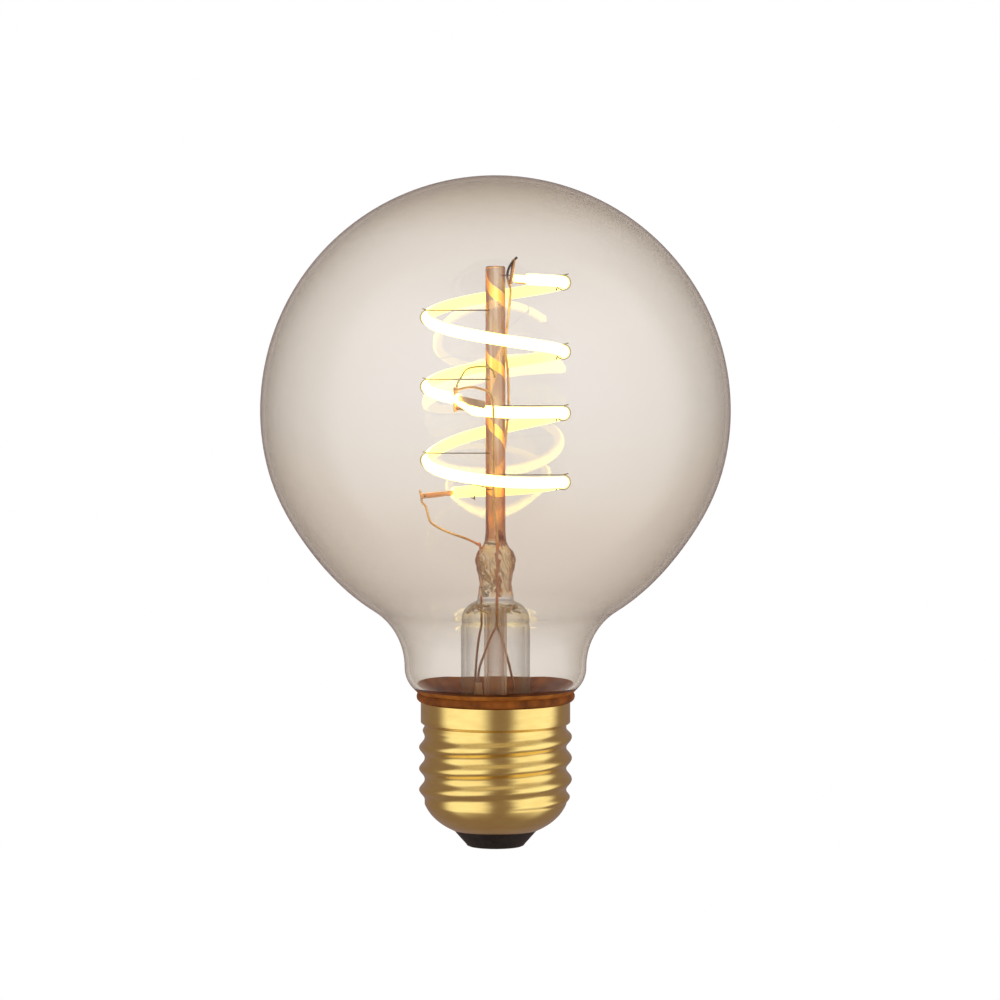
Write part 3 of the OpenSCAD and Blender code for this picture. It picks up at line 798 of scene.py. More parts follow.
@dataclass(frozen=True)
class Solid:
    """A plastic, ceramic or cement with mottled colour and a fine surface."""

    name: str
    light: Colour
    dark: Colour
    low: float
    high: float
    scale: float = 600.0
    depth: float = 0.02
    coat: float = 0.0
    soft: float = 0.0
    gloss: float = 0.5

    def make(self) -> bpy.types.Material:
        """Builds the material."""
        s = Shader(self.name)
        mottle = s.noise(self.scale, 4.0)
        s.set(
            Base_Color=s.ramp(mottle, [(0.3, self.dark), (0.7, self.light)]),
            Roughness=s.between(mottle, self.low, self.high), Coat_Weight=self.coat,
            Coat_Roughness=0.08, Subsurface_Weight=self.soft, Subsurface_Scale=1.2 * MM,
            Specular_IOR_Level=self.gloss,
        )
        s.bump(s.noise(self.scale * 3, 3.0), self.depth)
        return s.material


class Finish(Enum):
    """The finishes of this lamp."""

    GLOBE = ClearGlass(
        "blown_glass", (0.08, 0.12, 0.165), (0.46, 0.44, 0.38),
        # Painted shade: the globe is tinted darker and warmer low down and at its crown, by height.
        layers=(
            (17.0, (0.93, 0.92, 0.91)), (38.0, (0.923, 0.903, 0.885)), (47.0, (0.918, 0.885, 0.853)),
            (55.0, (0.922, 0.892, 0.86)), (63.0, (0.938, 0.915, 0.89)), (75.0, (0.965, 0.96, 0.955)),
            (90.0, (0.99, 0.985, 0.98)), (105.0, (1.0, 0.99, 0.98)), (110.0, (0.95, 0.93, 0.9)),
            (115.0, (0.88, 0.84, 0.78)),
        ),
        mirror_low=0.3,
    )
    # Cement seen on the neck through the glass, painted lighter than the basing cement: painted light making up for the
    # shade inside the cap.
    NECK_PAINTED_LIGHT = Solid("cemented_neck_painted_light", (0.42, 0.14, 0.022), (0.2, 0.055, 0.008), 0.5, 0.7, 330, 0.06, gloss=0.05)
    STEM = ThinTube("drawn_glass", (0.38, 0.3, 0.19), (0.27, 0.2, 0.12), 0.035, 0.95, power=1.9)
    HOLLOW = ThinTube("drawn_glass_inside", (0.5, 0.4, 0.27), (0.42, 0.32, 0.2), 0.04, 0.3, power=1.4)
    PRESS = ClearGlass(
        "pressed_glass", None, (0.5, 0.28, 0.12), (0.99, 0.92, 0.78), 0.55, 1.4, 0.03, 300, 0.12,
        streak=(0.92, 0.74, 0.48), drawn=(1.0, 1.0, 0.4), clarity=0.8,
    )
    ROD = ClearGlass(
        "rod_glass", None, (0.5, 0.27, 0.14), (0.97, 0.92, 0.86), 0.3, 1.2, 0.03, 300,
        layers=(
            (52.0, (1.0, 0.8, 0.6)), (56.0, (0.97, 0.62, 0.34)), (62.0, (0.97, 0.6, 0.32)),
            (70.0, (1.0, 0.84, 0.66)), (84.0, (1.0, 0.94, 0.87)), (99.3, (1.0, 0.96, 0.92)),
        ),
        streak=(0.7, 0.47, 0.3),
    )
    TUBE = ThinTube("exhaust_tube_glass", (0.95, 0.68, 0.48), (0.82, 0.53, 0.35), 0.08, 0.7)
    CREASE = ThinTube("glass_crease", (0.6, 0.33, 0.12), (0.3, 0.14, 0.05), 0.55, 0.95)
    SEAM = ThinTube("press_seam_glass", (0.95, 0.8, 0.5), (0.72, 0.48, 0.26), 0.3, 0.7)
    GLOW = StripGlow()
    TAB = Metal("strip_tab_metal", (0.95, 0.56, 0.25), (0.72, 0.34, 0.12), 0.25, 0.45)
    # A darker, duller copy of the tab metal: painted shade for the bar and the joining plate.
    TAB_PAINTED_SHADE = Metal("joint_tab_metal_painted_shade", (0.6, 0.42, 0.29), (0.42, 0.27, 0.17), 0.3, 0.5)
    LEAD = LeadMetal()
    SUPPORT = Metal("support_wire_metal", (0.22, 0.19, 0.13), (0.12, 0.1, 0.07), 0.3, 0.5)
    BEND = Metal("joint_wire_metal", (0.6, 0.52, 0.14), (0.36, 0.3, 0.08), 0.3, 0.5)
    SLEEVE = ThinTube("lead_sleeve", (0.74, 0.47, 0.31), (0.5, 0.25, 0.12), 0.55, 1.0, 0.15)
    CEMENT = Solid("basing_cement", (0.3, 0.085, 0.01), (0.13, 0.033, 0.003), 0.45, 0.7, 500, 0.06, gloss=0.12)
    BRASS = Metal("rolled_brass", (0.87, 0.65, 0.21), (0.79, 0.55, 0.16), 0.16, 0.26, 260, (1, 1, 3.5), 0.006, 0.5)
    VITRITE = Solid("black_moulded_glass", (0.021, 0.014, 0.01), (0.011, 0.008, 0.006), 0.35, 0.5, 900, 0.01, gloss=0.22)
    TINNED = Metal("tinned_contact", (0.72, 0.72, 0.7), (0.5, 0.5, 0.5), 0.22, 0.42)
    BOARD = Solid("solder_mask", (0.02, 0.13, 0.05), (0.012, 0.085, 0.03), 0.3, 0.45, 800, 0.01, 0.4)
    PACKAGE = Solid("moulded_package", (0.03, 0.03, 0.032), (0.018, 0.018, 0.02), 0.45, 0.6, 1500)
    CAPACITOR = Solid("capacitor_sleeve", (0.02, 0.025, 0.07), (0.012, 0.015, 0.045), 0.25, 0.4, 300)
    FERRITE = Solid("sintered_ferrite", (0.06, 0.055, 0.05), (0.03, 0.028, 0.026), 0.5, 0.75, 1200)
    RESISTOR = Solid("resistor_lacquer", (0.42, 0.34, 0.2), (0.3, 0.24, 0.14), 0.35, 0.5, 900)
    LIVE = Solid("live_wire_insulation", (0.4, 0.03, 0.02), (0.28, 0.02, 0.015), 0.35, 0.5, 500)
    NEUTRAL = Solid("neutral_wire_insulation", (0.03, 0.08, 0.3), (0.02, 0.05, 0.2), 0.35, 0.5, 500)

    @property
    def material(self) -> bpy.types.Material:
        """Returns the finish's material, made on first use."""
        return bpy.data.materials.get(self.value.name) or self.value.make()


def settle(obj: bpy.types.Object, finish: Finish | None, slot: str, *nodes: str) -> bpy.types.Object:
    """Dresses a piece, rides it on the body and lets it stand for CAD nodes.

    Args:
        obj: the piece.
        finish: its finish, or None where its mesh has its own.
        slot: the record's material slot; not used.
        nodes: CAD nodes that it replaces.

    Returns:
        The piece.
    """
    if finish is not None:
        obj.data.materials.clear()
        obj.data.materials.append(finish.material)
    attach(obj, BODY)
    if nodes:
        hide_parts(*nodes)
    LOG.info("%s: %d faces", obj.name, len(obj.data.polygons))
    return obj


# ---- the lamp


@dataclass
class Globe:
    """The blown globe with its shoulder and neck."""

    radius: float = 40.0
    centre: float = 74.7
    wall: float = 0.8
    neck: float = 15.5
    shoulder: float = 11.5
    round: float = 5.0
    low_radius: float = 11.4
    low: float = 17.6
    pinch: float = 0.6
    bedded: float = 26.78

    @property
    def shoulder_centre(self) -> tuple[float, float]:
        """Returns the centre of the concave shoulder's arc."""
        x = self.neck + self.shoulder
        return x, self.centre - math.sqrt((self.radius + self.shoulder) ** 2 - x * x)

    def profile(self, inset: float, fine: int) -> list[tuple[float, float]]:
        """Draws the profile from the neck's low end to the crown.

        Args:
            inset: how far it is drawn in from the outside.
            fine: how many stretches the big arc has.

        Returns:
            Points (radius, height), the last one on the axis.
        """
        x, z = self.shoulder_centre
        turn = -math.degrees(math.atan2(x, self.centre - z))
        points = [(self.low_radius - inset, self.low)]
        slant = self.round - inset
        corner = (self.neck - self.round + slant * 0.7071, z - slant * 0.7071)
        points.append((self.low_radius - inset, corner[1] - (corner[0] - self.low_radius + inset)))
        points += arc((self.neck - self.round, z), slant, -45, 0, 28)
        points += arc((x, z), self.shoulder + inset, 180, 90 - turn, 14)[1:]
        big = arc((0, self.centre), self.radius - inset, -90 - turn, 90, fine)
        points += big[1:-1] + [(0.0, self.centre + self.radius - inset)]
        return [(self.drawn(r, h), h) for r, h in points]

    def drawn(self, r: float, h: float) -> float:
        """Draws the lower half of the globe in a little, as blown glass hangs."""
        share = math.exp(-(((h - 50.0) / 9.0) ** 2))
        return r - self.pinch * share if r > 0 else r

    def build(self) -> None:
        """Makes the glass as one closed wall."""
        outside = self.profile(0.0, 72)
        inside = self.profile(self.wall, 72)
        glass = Turned(192).build("glass_globe_wall", outside + inside[::-1], closed=True)
        glass.data.materials.append(Finish.GLOBE.material)
        # Faces below the cement's creep take the neck cement, painted lighter as painted light for the shade inside the
        # cap.
        glass.data.materials.append(Finish.NECK_PAINTED_LIGHT.material)
        for face in glass.data.polygons:
            face.material_index = 1 if face.center.z < self.bed(face.center) * MM else 0
        settle(glass, None, "clear_glass", "glass_globe")

    def bed(self, at: Vector) -> float:
        """Returns how high the cement has crept on the neck beside a point."""
        a = math.atan2(at.y, at.x)
        return self.bedded + 0.12 * math.sin(2 * a + 0.5) + 0.12 * math.sin(5 * a + 2) + 0.08 * math.sin(11 * a)


@dataclass
class Stem:
    """The glass stem: flare, press with its bubbles, rod and exhaust tube."""

    flare: float = 5.9
    wall: float = 0.9
    low: float = 17.6
    rim: float = 10.55
    shoulder: float = 38.6
    bend: float = 3.6
    waist: tuple[float, float] = (45.2, 2.75)
    bulge: tuple[float, float] = (49.2, 3.4)
    depth: float = 2.8
    top: float = 51.6
    rod: float = 1.7
    rod_top: float = 99.3
    exhaust: float = 1.95
    exhaust_tip: float = 15.2
    seed: int = 7

    def outside(self) -> list[tuple[float, float]]:
        """Draws the outer profile from the flare's rim up to the top of the rod."""
        z0 = self.low
        points = [(self.rim - 0.3, z0), (self.rim, z0 + 0.25), (self.rim, z0 + 0.6), (self.rim - 0.25, z0 + self.wall)]
        points += [(mix(self.rim - 0.6, self.flare, ease(i / 12) ** 0.6), z0 + self.wall + 3.2 * (i / 12) ** 1.6) for i in range(1, 13)]
        points += [(self.flare, z) for z in (24.0, 28.0, 33.0, 37.0)]
        points += arc((self.flare - self.bend, self.shoulder), self.bend, 0, 72, 18)
        points += [(3.24, 42.13), (3.12, 42.32), (3.05, 42.6), (3.04, 42.85), (3.05, 43.1)]
        keys = [43.1, self.waist[0], self.bulge[0], self.top - 1.0, self.top - 0.2, self.top + 0.8, self.top + 2.6]
        radii = [3.05, self.waist[1], self.bulge[1], 3.0, 2.35, self.rod + 0.2, self.rod]
        points += [(smooth_keys(keys, radii, z), z) for z in (mix(keys[0] + 0.3, keys[-1], i / 40) for i in range(41))]
        points += [(self.rod, z) for z in (60.0, 75.0, 90.0, self.rod_top - 0.5)]
        points += [(self.rod - 0.06, self.rod_top - 0.15), (self.rod - 0.2, self.rod_top), (0.0, self.rod_top + 0.02)]
        return points

    def inside(self) -> list[tuple[float, float]]:
        """Draws the hollow of the flare from its rim up to its closed top."""
        r = self.flare - self.wall
        z0 = self.low
        points = [(self.rim - 1.4, z0)]
        points += [(mix(self.rim - 1.6, r, ease(i / 12) ** 0.6), z0 + 3.0 * (i / 12) ** 1.6) for i in range(1, 13)]
        points += [(r, z) for z in (24.0, 28.0, 32.0, 36.0)]
        points += arc((self.flare - self.bend, self.shoulder), self.bend - self.wall, 0, 72, 16)
        points += [(2.6, 41.33), (1.9, 41.52), (1.2, 41.68), (0.6, 41.78), (0.0, 41.8)]
        return points

    def flatten(self, r: float, z: float, a: float) -> tuple[float, float]:
        """Gives the press its flattened, lumpy outline.

        Args:
            r: radius of the ring.
            z: its height.
            a: the angle in radians.

        Returns:
            The point's x and y.
        """
        share = ease((z - 41.6) / 1.8) * ease((self.top + 0.5 - z) / 1.0)
        lump = 0.07 * share * math.sin(3 * a + z * 1.7) * math.sin(z * 2.3 + 1.2 * math.cos(a))
        lump += 0.06 * share * abs(math.sin(5 * a + z * 1.1 + math.sin(z * 1.9 + a)))
        x, y = (r + lump) * math.cos(a), (r + lump) * math.sin(a)
        limit = mix(r, min(r, self.depth), share)
        return x, y * (limit / r if r else 1.0)

    def bubbles(self) -> bpy.types.Object:
        """Makes the small gas bubbles caught low in the press."""
        rng = random.Random(self.seed)
        parts = []
        for k in range(30):
            near = k < 22
            centre = Vector(
                (rng.uniform(-2.1, -0.4) if near else rng.uniform(-1.5, 2.0), rng.uniform(-1.8, 0.4),
                 rng.uniform(43.1, 45.0) if near else rng.uniform(45.5, 50.0))
            )
            size = rng.uniform(0.12, 0.36) if near else rng.uniform(0.08, 0.16)
            ball = [(size * math.sin(math.pi * i / 8), -size * math.cos(math.pi * i / 8)) for i in range(9)]
            ball = [(0.0 if i in (0, 8) else r, z) for i, (r, z) in enumerate(ball)]
            part = Turned(14).build("bubble", ball)
            part.data.transform(Matrix.Translation(centre * MM))
            parts.append(part)
        return join("press_bubbles", parts)

    def seams(self, sweep: RoundSweep) -> list[bpy.types.Object]:
        """Makes the slanting seams that the pressing leaves in the glass.

        Args:
            sweep: the tree that runs a round section along a path.

        Returns:
            The seams.
        """
        rng = random.Random(self.seed + 4)
        parts = []
        for k in range(16):
            front = -1 if k % 3 else 1
            start, slant, sway = rng.uniform(-2.2, 1.7), rng.uniform(0.6, 2.0), rng.uniform(0.1, 0.35)
            high, low = rng.uniform(48.6, 50.6), rng.uniform(43.6, 46.5)
            depth, size, turn = rng.uniform(1.1, 1.9), rng.uniform(0.08, 0.17), rng.uniform(0, 6)
            path = []
            for i in range(25):
                t = i / 24
                x = start + slant * t + sway * math.sin(turn + 5 * t)
                x = max(-2.2, min(2.2, x))
                path.append(Vector((x, front * depth * math.sqrt(1 - (x / 2.9) ** 2), mix(high, low, t))))
            parts.append(sweep.along(f"seam_{k}", path, size, 8, Finish.SEAM.material))
        for k in range(20):
            turn = math.radians(rng.uniform(188, 248) if k % 3 else rng.uniform(295, 350))
            sway, wave, size = rng.uniform(0.1, 0.35), rng.uniform(0, 6), rng.uniform(0.08, 0.17)
            near, far = rng.uniform(0.5, 1.0), rng.uniform(1.7, 2.75)
            path = []
            for i in range(17):
                t = i / 16
                r, a = mix(near, far, t), turn + sway * math.sin(wave + 6 * t)
                z = self.shoulder + math.sqrt((self.bend - self.wall / 2) ** 2 - r ** 2)
                r += self.flare - self.bend
                path.append(Vector((r * math.cos(a), r * math.sin(a), z)))
            finish = Finish.CREASE if k % 2 else Finish.SEAM
            parts.append(sweep.along(f"shoulder_seam_{k}", path, size, 8, finish.material))
        return parts

    def build(self, sweep: RoundSweep) -> None:
        """Makes the stem's glass and the exhaust tube.

        Args:
            sweep: the tree that runs a round section along a path.
        """
        wall = self.outside()[::-1] + self.inside()
        shell = Turned(96).build("stem_glass_body", wall[::-1], self.flatten)
        bubbles = self.bubbles()
        bubbles.data.materials.append(Finish.SEAM.material)
        for finish in (Finish.HOLLOW, Finish.STEM, Finish.PRESS, Finish.ROD):
            shell.data.materials.append(finish.material)
        zones = (43.0, self.top + 0.9)
        for face in shell.data.polygons:
            outer = face.normal.dot(Vector((*face.center.xy, 0)).normalized()) > 0 or face.center.z > zones[0] * MM
            face.material_index = 1 + sum(face.center.z > z * MM for z in zones) if outer else 0
        settle(join("stem_glass", [shell, bubbles, *self.seams(sweep)]), None, "stem_glass", "stem_flare", "stem_pillar")
        r, t = self.exhaust, 0.5
        z = self.exhaust_tip
        out = [(0.0, z), (0.5, z + 0.1), (1.2, z + 0.7), (r - 0.15, z + 1.8), (r, z + 3.0), (r, 41.3)]
        back = [(r - t, 41.3), (r - t, z + 3.2), (r - t - 0.3, z + 2.2), (0.5, z + 1.3), (0.0, z + 1.1)]
        tube = Turned(48).build("pump_tube", out + back)
        settle(tube, Finish.TUBE, "stem_glass", "exhaust_tube")


@dataclass
class Spiral:
    """One light strip's left-hand spiral."""

    name: str
    angles: Sequence[float]
    shares: Sequence[float]
    top: float
    low: float
    radius: float = 11.5
    thick: float = 0.98
    tips: tuple[tuple[int, float, float, float, float], ...] = ()

    def height(self, angle: float) -> float:
        """Returns the strip's height at an angle in degrees."""
        return mix(self.low, self.top, smooth_keys(self.angles, self.shares, angle))

    def at(self, angle: float) -> Vector:
        """Returns the strip's middle at an angle in degrees."""
        a = math.radians(angle)
        return Vector((self.radius * math.cos(a), self.radius * math.sin(a), self.height(angle)))

    def path(self, steps: int = 72) -> list[Vector]:
        """Lists the points of the strip's middle line, with steps points to a turn."""
        first, last = self.angles[0], self.angles[-1]
        n = math.ceil((last - first) / 360 * steps)
        return [self.at(mix(first, last, i / n)) for i in range(n + 1)]

    def out(self, end: int) -> Vector:
        """Returns the direction out of an end: 0 is the first, 1 the last."""
        first, last = self.angles[0], self.angles[-1]
        if end == 0:
            return (self.at(first) - self.at(first + 5)).normalized()
        return (self.at(last) - self.at(last - 5)).normalized()

    def build(self, sweep: RoundSweep) -> None:
        """Makes the strip with its rounded, slightly swollen ends.

        Args:
            sweep: the tree that runs a round section along a path.
        """
        body = sweep.along(f"{self.name}_body", self.path(), self.thick, 20, Finish.GLOW.material)
        caps = []
        for end, point in ((0, self.at(self.angles[0])), (1, self.at(self.angles[-1]))):
            out = self.out(end)
            r = self.thick
            bead = [(r * 0.99, -0.5), (r * 1.03, -0.2), (r, 0.02), (r * 0.9, 0.16), (r * 0.6, 0.25), (0.0, 0.27)]
            cap = Turned(20).build("end", [(0.0, -0.5)] + bead)
            turn = Vector((0, 0, 1)).rotation_difference(out).to_matrix().to_4x4()
            cap.data.transform(Matrix.Translation(point * MM) @ turn)
            cap.data.materials.append(Finish.GLOW.material)
            caps.append(cap)
        caps += [self.tip(*tip) for tip in self.tips]
        settle(join(f"{self.name}_glow", [body] + caps), None, "light_strip", self.name)

    def tip(self, end: int, length: float, size: float, last: float, lift: float) -> bpy.types.Object:
        """Makes the silicone that creeps over the tab at an end.

        Args:
            end: 0 for the first end, 1 for the last.
            length: how far it creeps.
            size: its radius where it starts, as a share of the strip's.
            last: its radius at its end, as such a share.
            lift: how steeply it climbs.

        Returns:
            The tip.
        """
        r, steps = self.thick, 10
        shape = [(0.0, -0.02)] + [(r * mix(size, last, i / steps), length * i / steps) for i in range(steps + 1)]
        shape += [(r * last * 0.6, length + 0.1), (0.0, length + 0.13)]
        tip = Turned(20).build("tip", shape)
        lean = (self.out(end) + Vector((0, 0, lift))).normalized()
        turn = Vector((0, 0, 1)).rotation_difference(lean).to_matrix().to_4x4()
        tip.data.transform(Matrix.Translation(self.at(self.angles[-end]) * MM) @ turn)
        tip.data.materials.append(Finish.GLOW.material)
        return tip


UPPER = Spiral(
    "upper_strip", (-62, 0, 90, 180, 270, 360, 450, 540, 593),
    (1, 0.945, 0.8, 0.65, 0.505, 0.36, 0.212, 0.065, 0), 97.6, 77.5,
    tips=((0, 2.6, 0.68, 0.6, 0.0), (1, 1.05, 0.97, 0.9, 0.0)),
)
LOWER = Spiral(
    "lower_strip", (612, 630, 720, 810, 900, 990, 1080, 1150, 1208),
    (1, 0.98, 0.91, 0.68, 0.4, 0.24, 0.165, 0.03, 0), 75.7, 59.9,
    tips=((0, 3.5, 0.97, 0.3, 0.3),),
)


def bead(name: str, place: Vector, size: float, finish: Finish, squash: float = 0.7) -> bpy.types.Object:
    """Makes a small lumpy weld or glass bead.

    Args:
        name: name of the piece.
        place: its middle in millimetres.
        size: its radius.
        finish: its finish.
        squash: its height against its width.

    Returns:
        The bead.
    """
    n = 8
    ball = [(size * math.sin(math.pi * i / n), -size * squash * math.cos(math.pi * i / n)) for i in range(n + 1)]
    ball[0], ball[-1] = (0.0, ball[0][1]), (0.0, ball[-1][1])

    def lump(r: float, z: float, a: float) -> tuple[float, float]:
        """Makes the bead a little uneven."""
        k = r * (1 + 0.1 * math.sin(2 * a + z * 9))
        return k * math.cos(a), k * math.sin(a)

    obj = Turned(14).build(name, ball, lump)
    obj.data.transform(Matrix.Translation(place * MM))
    obj.data.materials.append(finish.material)
    return obj


@dataclass
class EndTabs:
    """The metal tabs at the strips' ends and the plate that joins the two strips."""

    width: float = 0.9
    thick: float = 0.3
    long: float = 5.6
    short: float = 2.4
    upright: float = 4.2
    sag: float = 0.4
    bar: float = 6.8
    bar_width: float = 1.25
    last: float = 7.0

    @property
    def joint(self) -> tuple[Vector, Vector, Vector]:
        """Returns the upright plate's middle, its direction along the tab and its side."""
        out = UPPER.out(1)
        side = Vector((-out.y, out.x, 0)).normalized()
        middle = UPPER.at(UPPER.angles[-1]) + out * 0.55 - side * (self.thick + 0.02)
        return middle - Vector((0, 0, self.upright * 0.02)), out, side

    @property
    def weld(self) -> Vector:
        """Returns where the lower lead is welded to the last tab."""
        out = LOWER.out(1)
        side = Vector((-out.y, out.x, 0)).normalized()
        return LOWER.at(LOWER.angles[-1]) + out * (self.last - 0.4) - side * (self.thick / 2 + 0.29)

    def build(self) -> None:
        """Makes the four tabs with their welds."""
        tip = UPPER.out(0)
        under = Vector((0, 0, -self.sag))
        top = plate("top_end_tab", UPPER.at(UPPER.angles[0]) + tip * 0.1 + under, tip, self.short, self.width, self.thick, 0.12)
        leaf_foot = UPPER.at(UPPER.angles[0]) + tip * (self.short + 0.3) + Vector((-0.55, -0.1, -1.0))
        leaf = plate("leaf", leaf_foot, Vector((0.13, -0.1, 1.0)), 4.3, 0.7, 0.16)
        for part in (top, leaf):
            part.data.materials.append(Finish.TAB.material)
        settle(join("top_tab_plate", [top, leaf]), Finish.TAB, "tab_metal", "top_tab")

        middle, out, side = self.joint
        flat = plate("flat", UPPER.at(UPPER.angles[-1]) + out * 0.1, out, self.bar, self.bar_width, self.thick, 0.12)
        # The bar takes the tab metal's darker copy, as painted shade.
        flat.data.materials.append(Finish.TAB_PAINTED_SHADE.material)
        stand = plate("stand", middle - Vector((0, 0, self.upright / 2)) + side * 0.04, Vector((0.0001, 0, 1)), self.upright, self.width, self.thick)
        stand.data.transform(
            Matrix.Translation(middle * MM)
            @ Matrix.Rotation(math.atan2(out.x, -out.y), 4, "Z")
            @ Matrix.Translation(-middle * MM)
        )
        stand.data.materials.append(Finish.TAB.material)
        dots = [bead("dot", middle - side * 0.2 + Vector((0, 0, z)), 0.24, Finish.TAB) for z in (1.75, -1.2)]
        settle(join("middle_tab_plates", [flat, stand] + dots), None, "tab_metal", "middle_tab")

        start = LOWER.at(LOWER.angles[0])
        end = middle - Vector((0, 0, self.upright / 2 - self.width * 0.55)) + side * 0.36 - out * 0.36
        run = end - start
        # The joining plate takes the tab metal's darker copy, as painted shade.
        link = plate("joint_tab_plate", start + run.normalized() * 0.15, run, run.length - 0.15, self.width * 0.6, 0.24)
        settle(link, Finish.TAB_PAINTED_SHADE, "tab_metal", "joint_tab")

        out = LOWER.out(1)
        last = plate("last", LOWER.at(LOWER.angles[-1]) + out * 0.1, out, self.last, self.width, self.thick, 0.16)
        last.data.materials.append(Finish.TAB.material)
        side = Vector((-out.y, out.x, 0)).normalized()
        dot = bead("dot", LOWER.at(LOWER.angles[-1]) + out * (self.last - 0.75) + side * 0.2, 0.24, Finish.SUPPORT)
        settle(join("bottom_tab_plate", [last, dot]), None, "tab_metal", "bottom_tab")


@dataclass
class Leads:
    """The three lead wires, from the strips through the press down to the board."""

    radius: float = 0.21
    press: tuple[float, float] = (42.2, 51.6)
    foot: float = 12.42
    board_top: float = 13.6

    def through(self, x: float, y: float) -> list[Vector]:
        """Lists the straight run through the press."""
        low, top = self.press
        return [Vector((x, y, z)) for z in (top + 1.6, top, low - 1.6, low - 2.8)]

    def down(self, x: float, y: float, start: float) -> list[Vector]:
        """Lists the straight run down to the board."""
        return [Vector((x, y, z)) for z in (start + 1.6, start + 0.2, self.board_top + 1, self.foot)]

    def top(self) -> list[Vector]:
        """Lists the points of the lead to the upper strip."""
        tip = UPPER.at(UPPER.angles[0]) + UPPER.out(0) * 2.4
        head = [(0.3, -0.55, 3.6), (-0.75, -0.6, 2.4), (-1.3, -0.5, 1), (-1.25, -0.3, -0.4), (-0.8, 0.6, -2.2)]
        body = [(2.1, -8, 90.8), (1.7, -4.4, 86), (2.15, -0.6, 80.5), (2.15, 1.1, 74), (1.3, 2.1, 66), (0.6, 2.25, 59)]
        return (
            [tip + Vector(p) for p in head] + [Vector(p) for p in body] + self.through(0.2, 2.25)
            + [Vector((1.4, 2.5, 35)), Vector((2.6, 2.5, 30))] + self.down(3.4, 2.2, 24)
        )

    def centre(self) -> list[Vector]:
        """Lists the points of the lead to the middle joint."""
        middle, out, side = EndTabs().joint
        start = middle + Vector((0, 0, 1.83)) - side * (0.15 + 0.29)
        body = [(-4, -12.1, 79.6), (-1.5, -13, 79), (-0.6, -13.2, 77.8), (-0.35, -13.1, 75.6), (-0.3, -11.6, 72.8),
                (-0.3, -6, 68.6), (-0.3, -2.9, 64.8), (-0.3, -2.3, 60)]
        low = [(-0.3, -2.7, 38.2), (-1.3, -2.9, 35.5), (-2, -2.9, 33.4), (-2.6, -2.8, 31.6)]
        return (
            [start, start + out * 0.9] + [Vector(p) for p in body] + self.through(0.3, -2.25)
            + [Vector(p) for p in low] + self.down(-2.9, -2.6, 28.3)
        )

    def bottom(self) -> list[Vector]:
        """Lists the points of the lead to the lower strip."""
        weld = EndTabs().weld
        body = [(-11.9, 3.9, 58), (-11.35, 3, 56), (-10.8, 2.6, 55.2), (-9.4, 2, 54.4), (-7.4, 1.2, 53.6),
                (-5.5, 0.6, 53.0), (-4.2, 0.2, 52.5), (-3.1, 0, 51.9), (-2.55, 0, 50.9)]
        return (
            [weld + Vector((-0.25, 0.1, 1)), weld, weld + Vector((0.15, -0.2, -1.1))] + [Vector(p) for p in body]
            + self.through(-2.4, 0)[2:] + [Vector((-3, 0.8, 35)), Vector((-3.4, 1.4, 30))] + self.down(-3.5, 1.8, 24)
        )

    def build(self, sweep: RoundSweep) -> None:
        """Makes the leads and their amber sleeves.

        Args:
            sweep: the tree that runs a round section along a path.
        """
        for name, points in (("top", self.top()), ("centre", self.centre()), ("bottom", self.bottom())):
            wire = sweep.along(f"{name}_lead_wire", smooth_path(points, 8), self.radius, 12, Finish.LEAD.material)
            settle(wire, None, "lead_wire", f"{name}_lead")
        for name, x, y, top in (("centre", -2.9, -2.6, 28.3), ("top", 3.4, 2.2, 24.0), ("bottom", -3.5, 1.8, 24.0)):
            self.sleeve(name, x, y, top)

    def sleeve(self, name: str, x: float, y: float, top: float) -> None:
        """Makes one crumpled sleeve round a lead low in the flare.

        Args:
            name: which lead it is on.
            x: its place to the right.
            y: its place to the back.
            top: its upper end.
        """

        def crumple(r: float, z: float, a: float) -> tuple[float, float]:
            """Creases the sleeve."""
            k = r * (1 + 0.09 * math.sin(3 * a + z * 1.9) + 0.05 * math.sin(5 * a - z * 3.1))
            return x + k * math.cos(a), y + k * math.sin(a)

        heights = [mix(19.6, top, i / 24) for i in range(25)]
        out = [(0.66 + 0.1 * math.sin(z * 1.3), z) for z in heights]
        back = [(0.4, z) for z in reversed(heights)]
        settle(Turned(32).build(f"{name}_lead_sleeve", out + back, crumple, closed=True), Finish.SLEEVE, "lead_sleeve", f"{name}_sleeve")


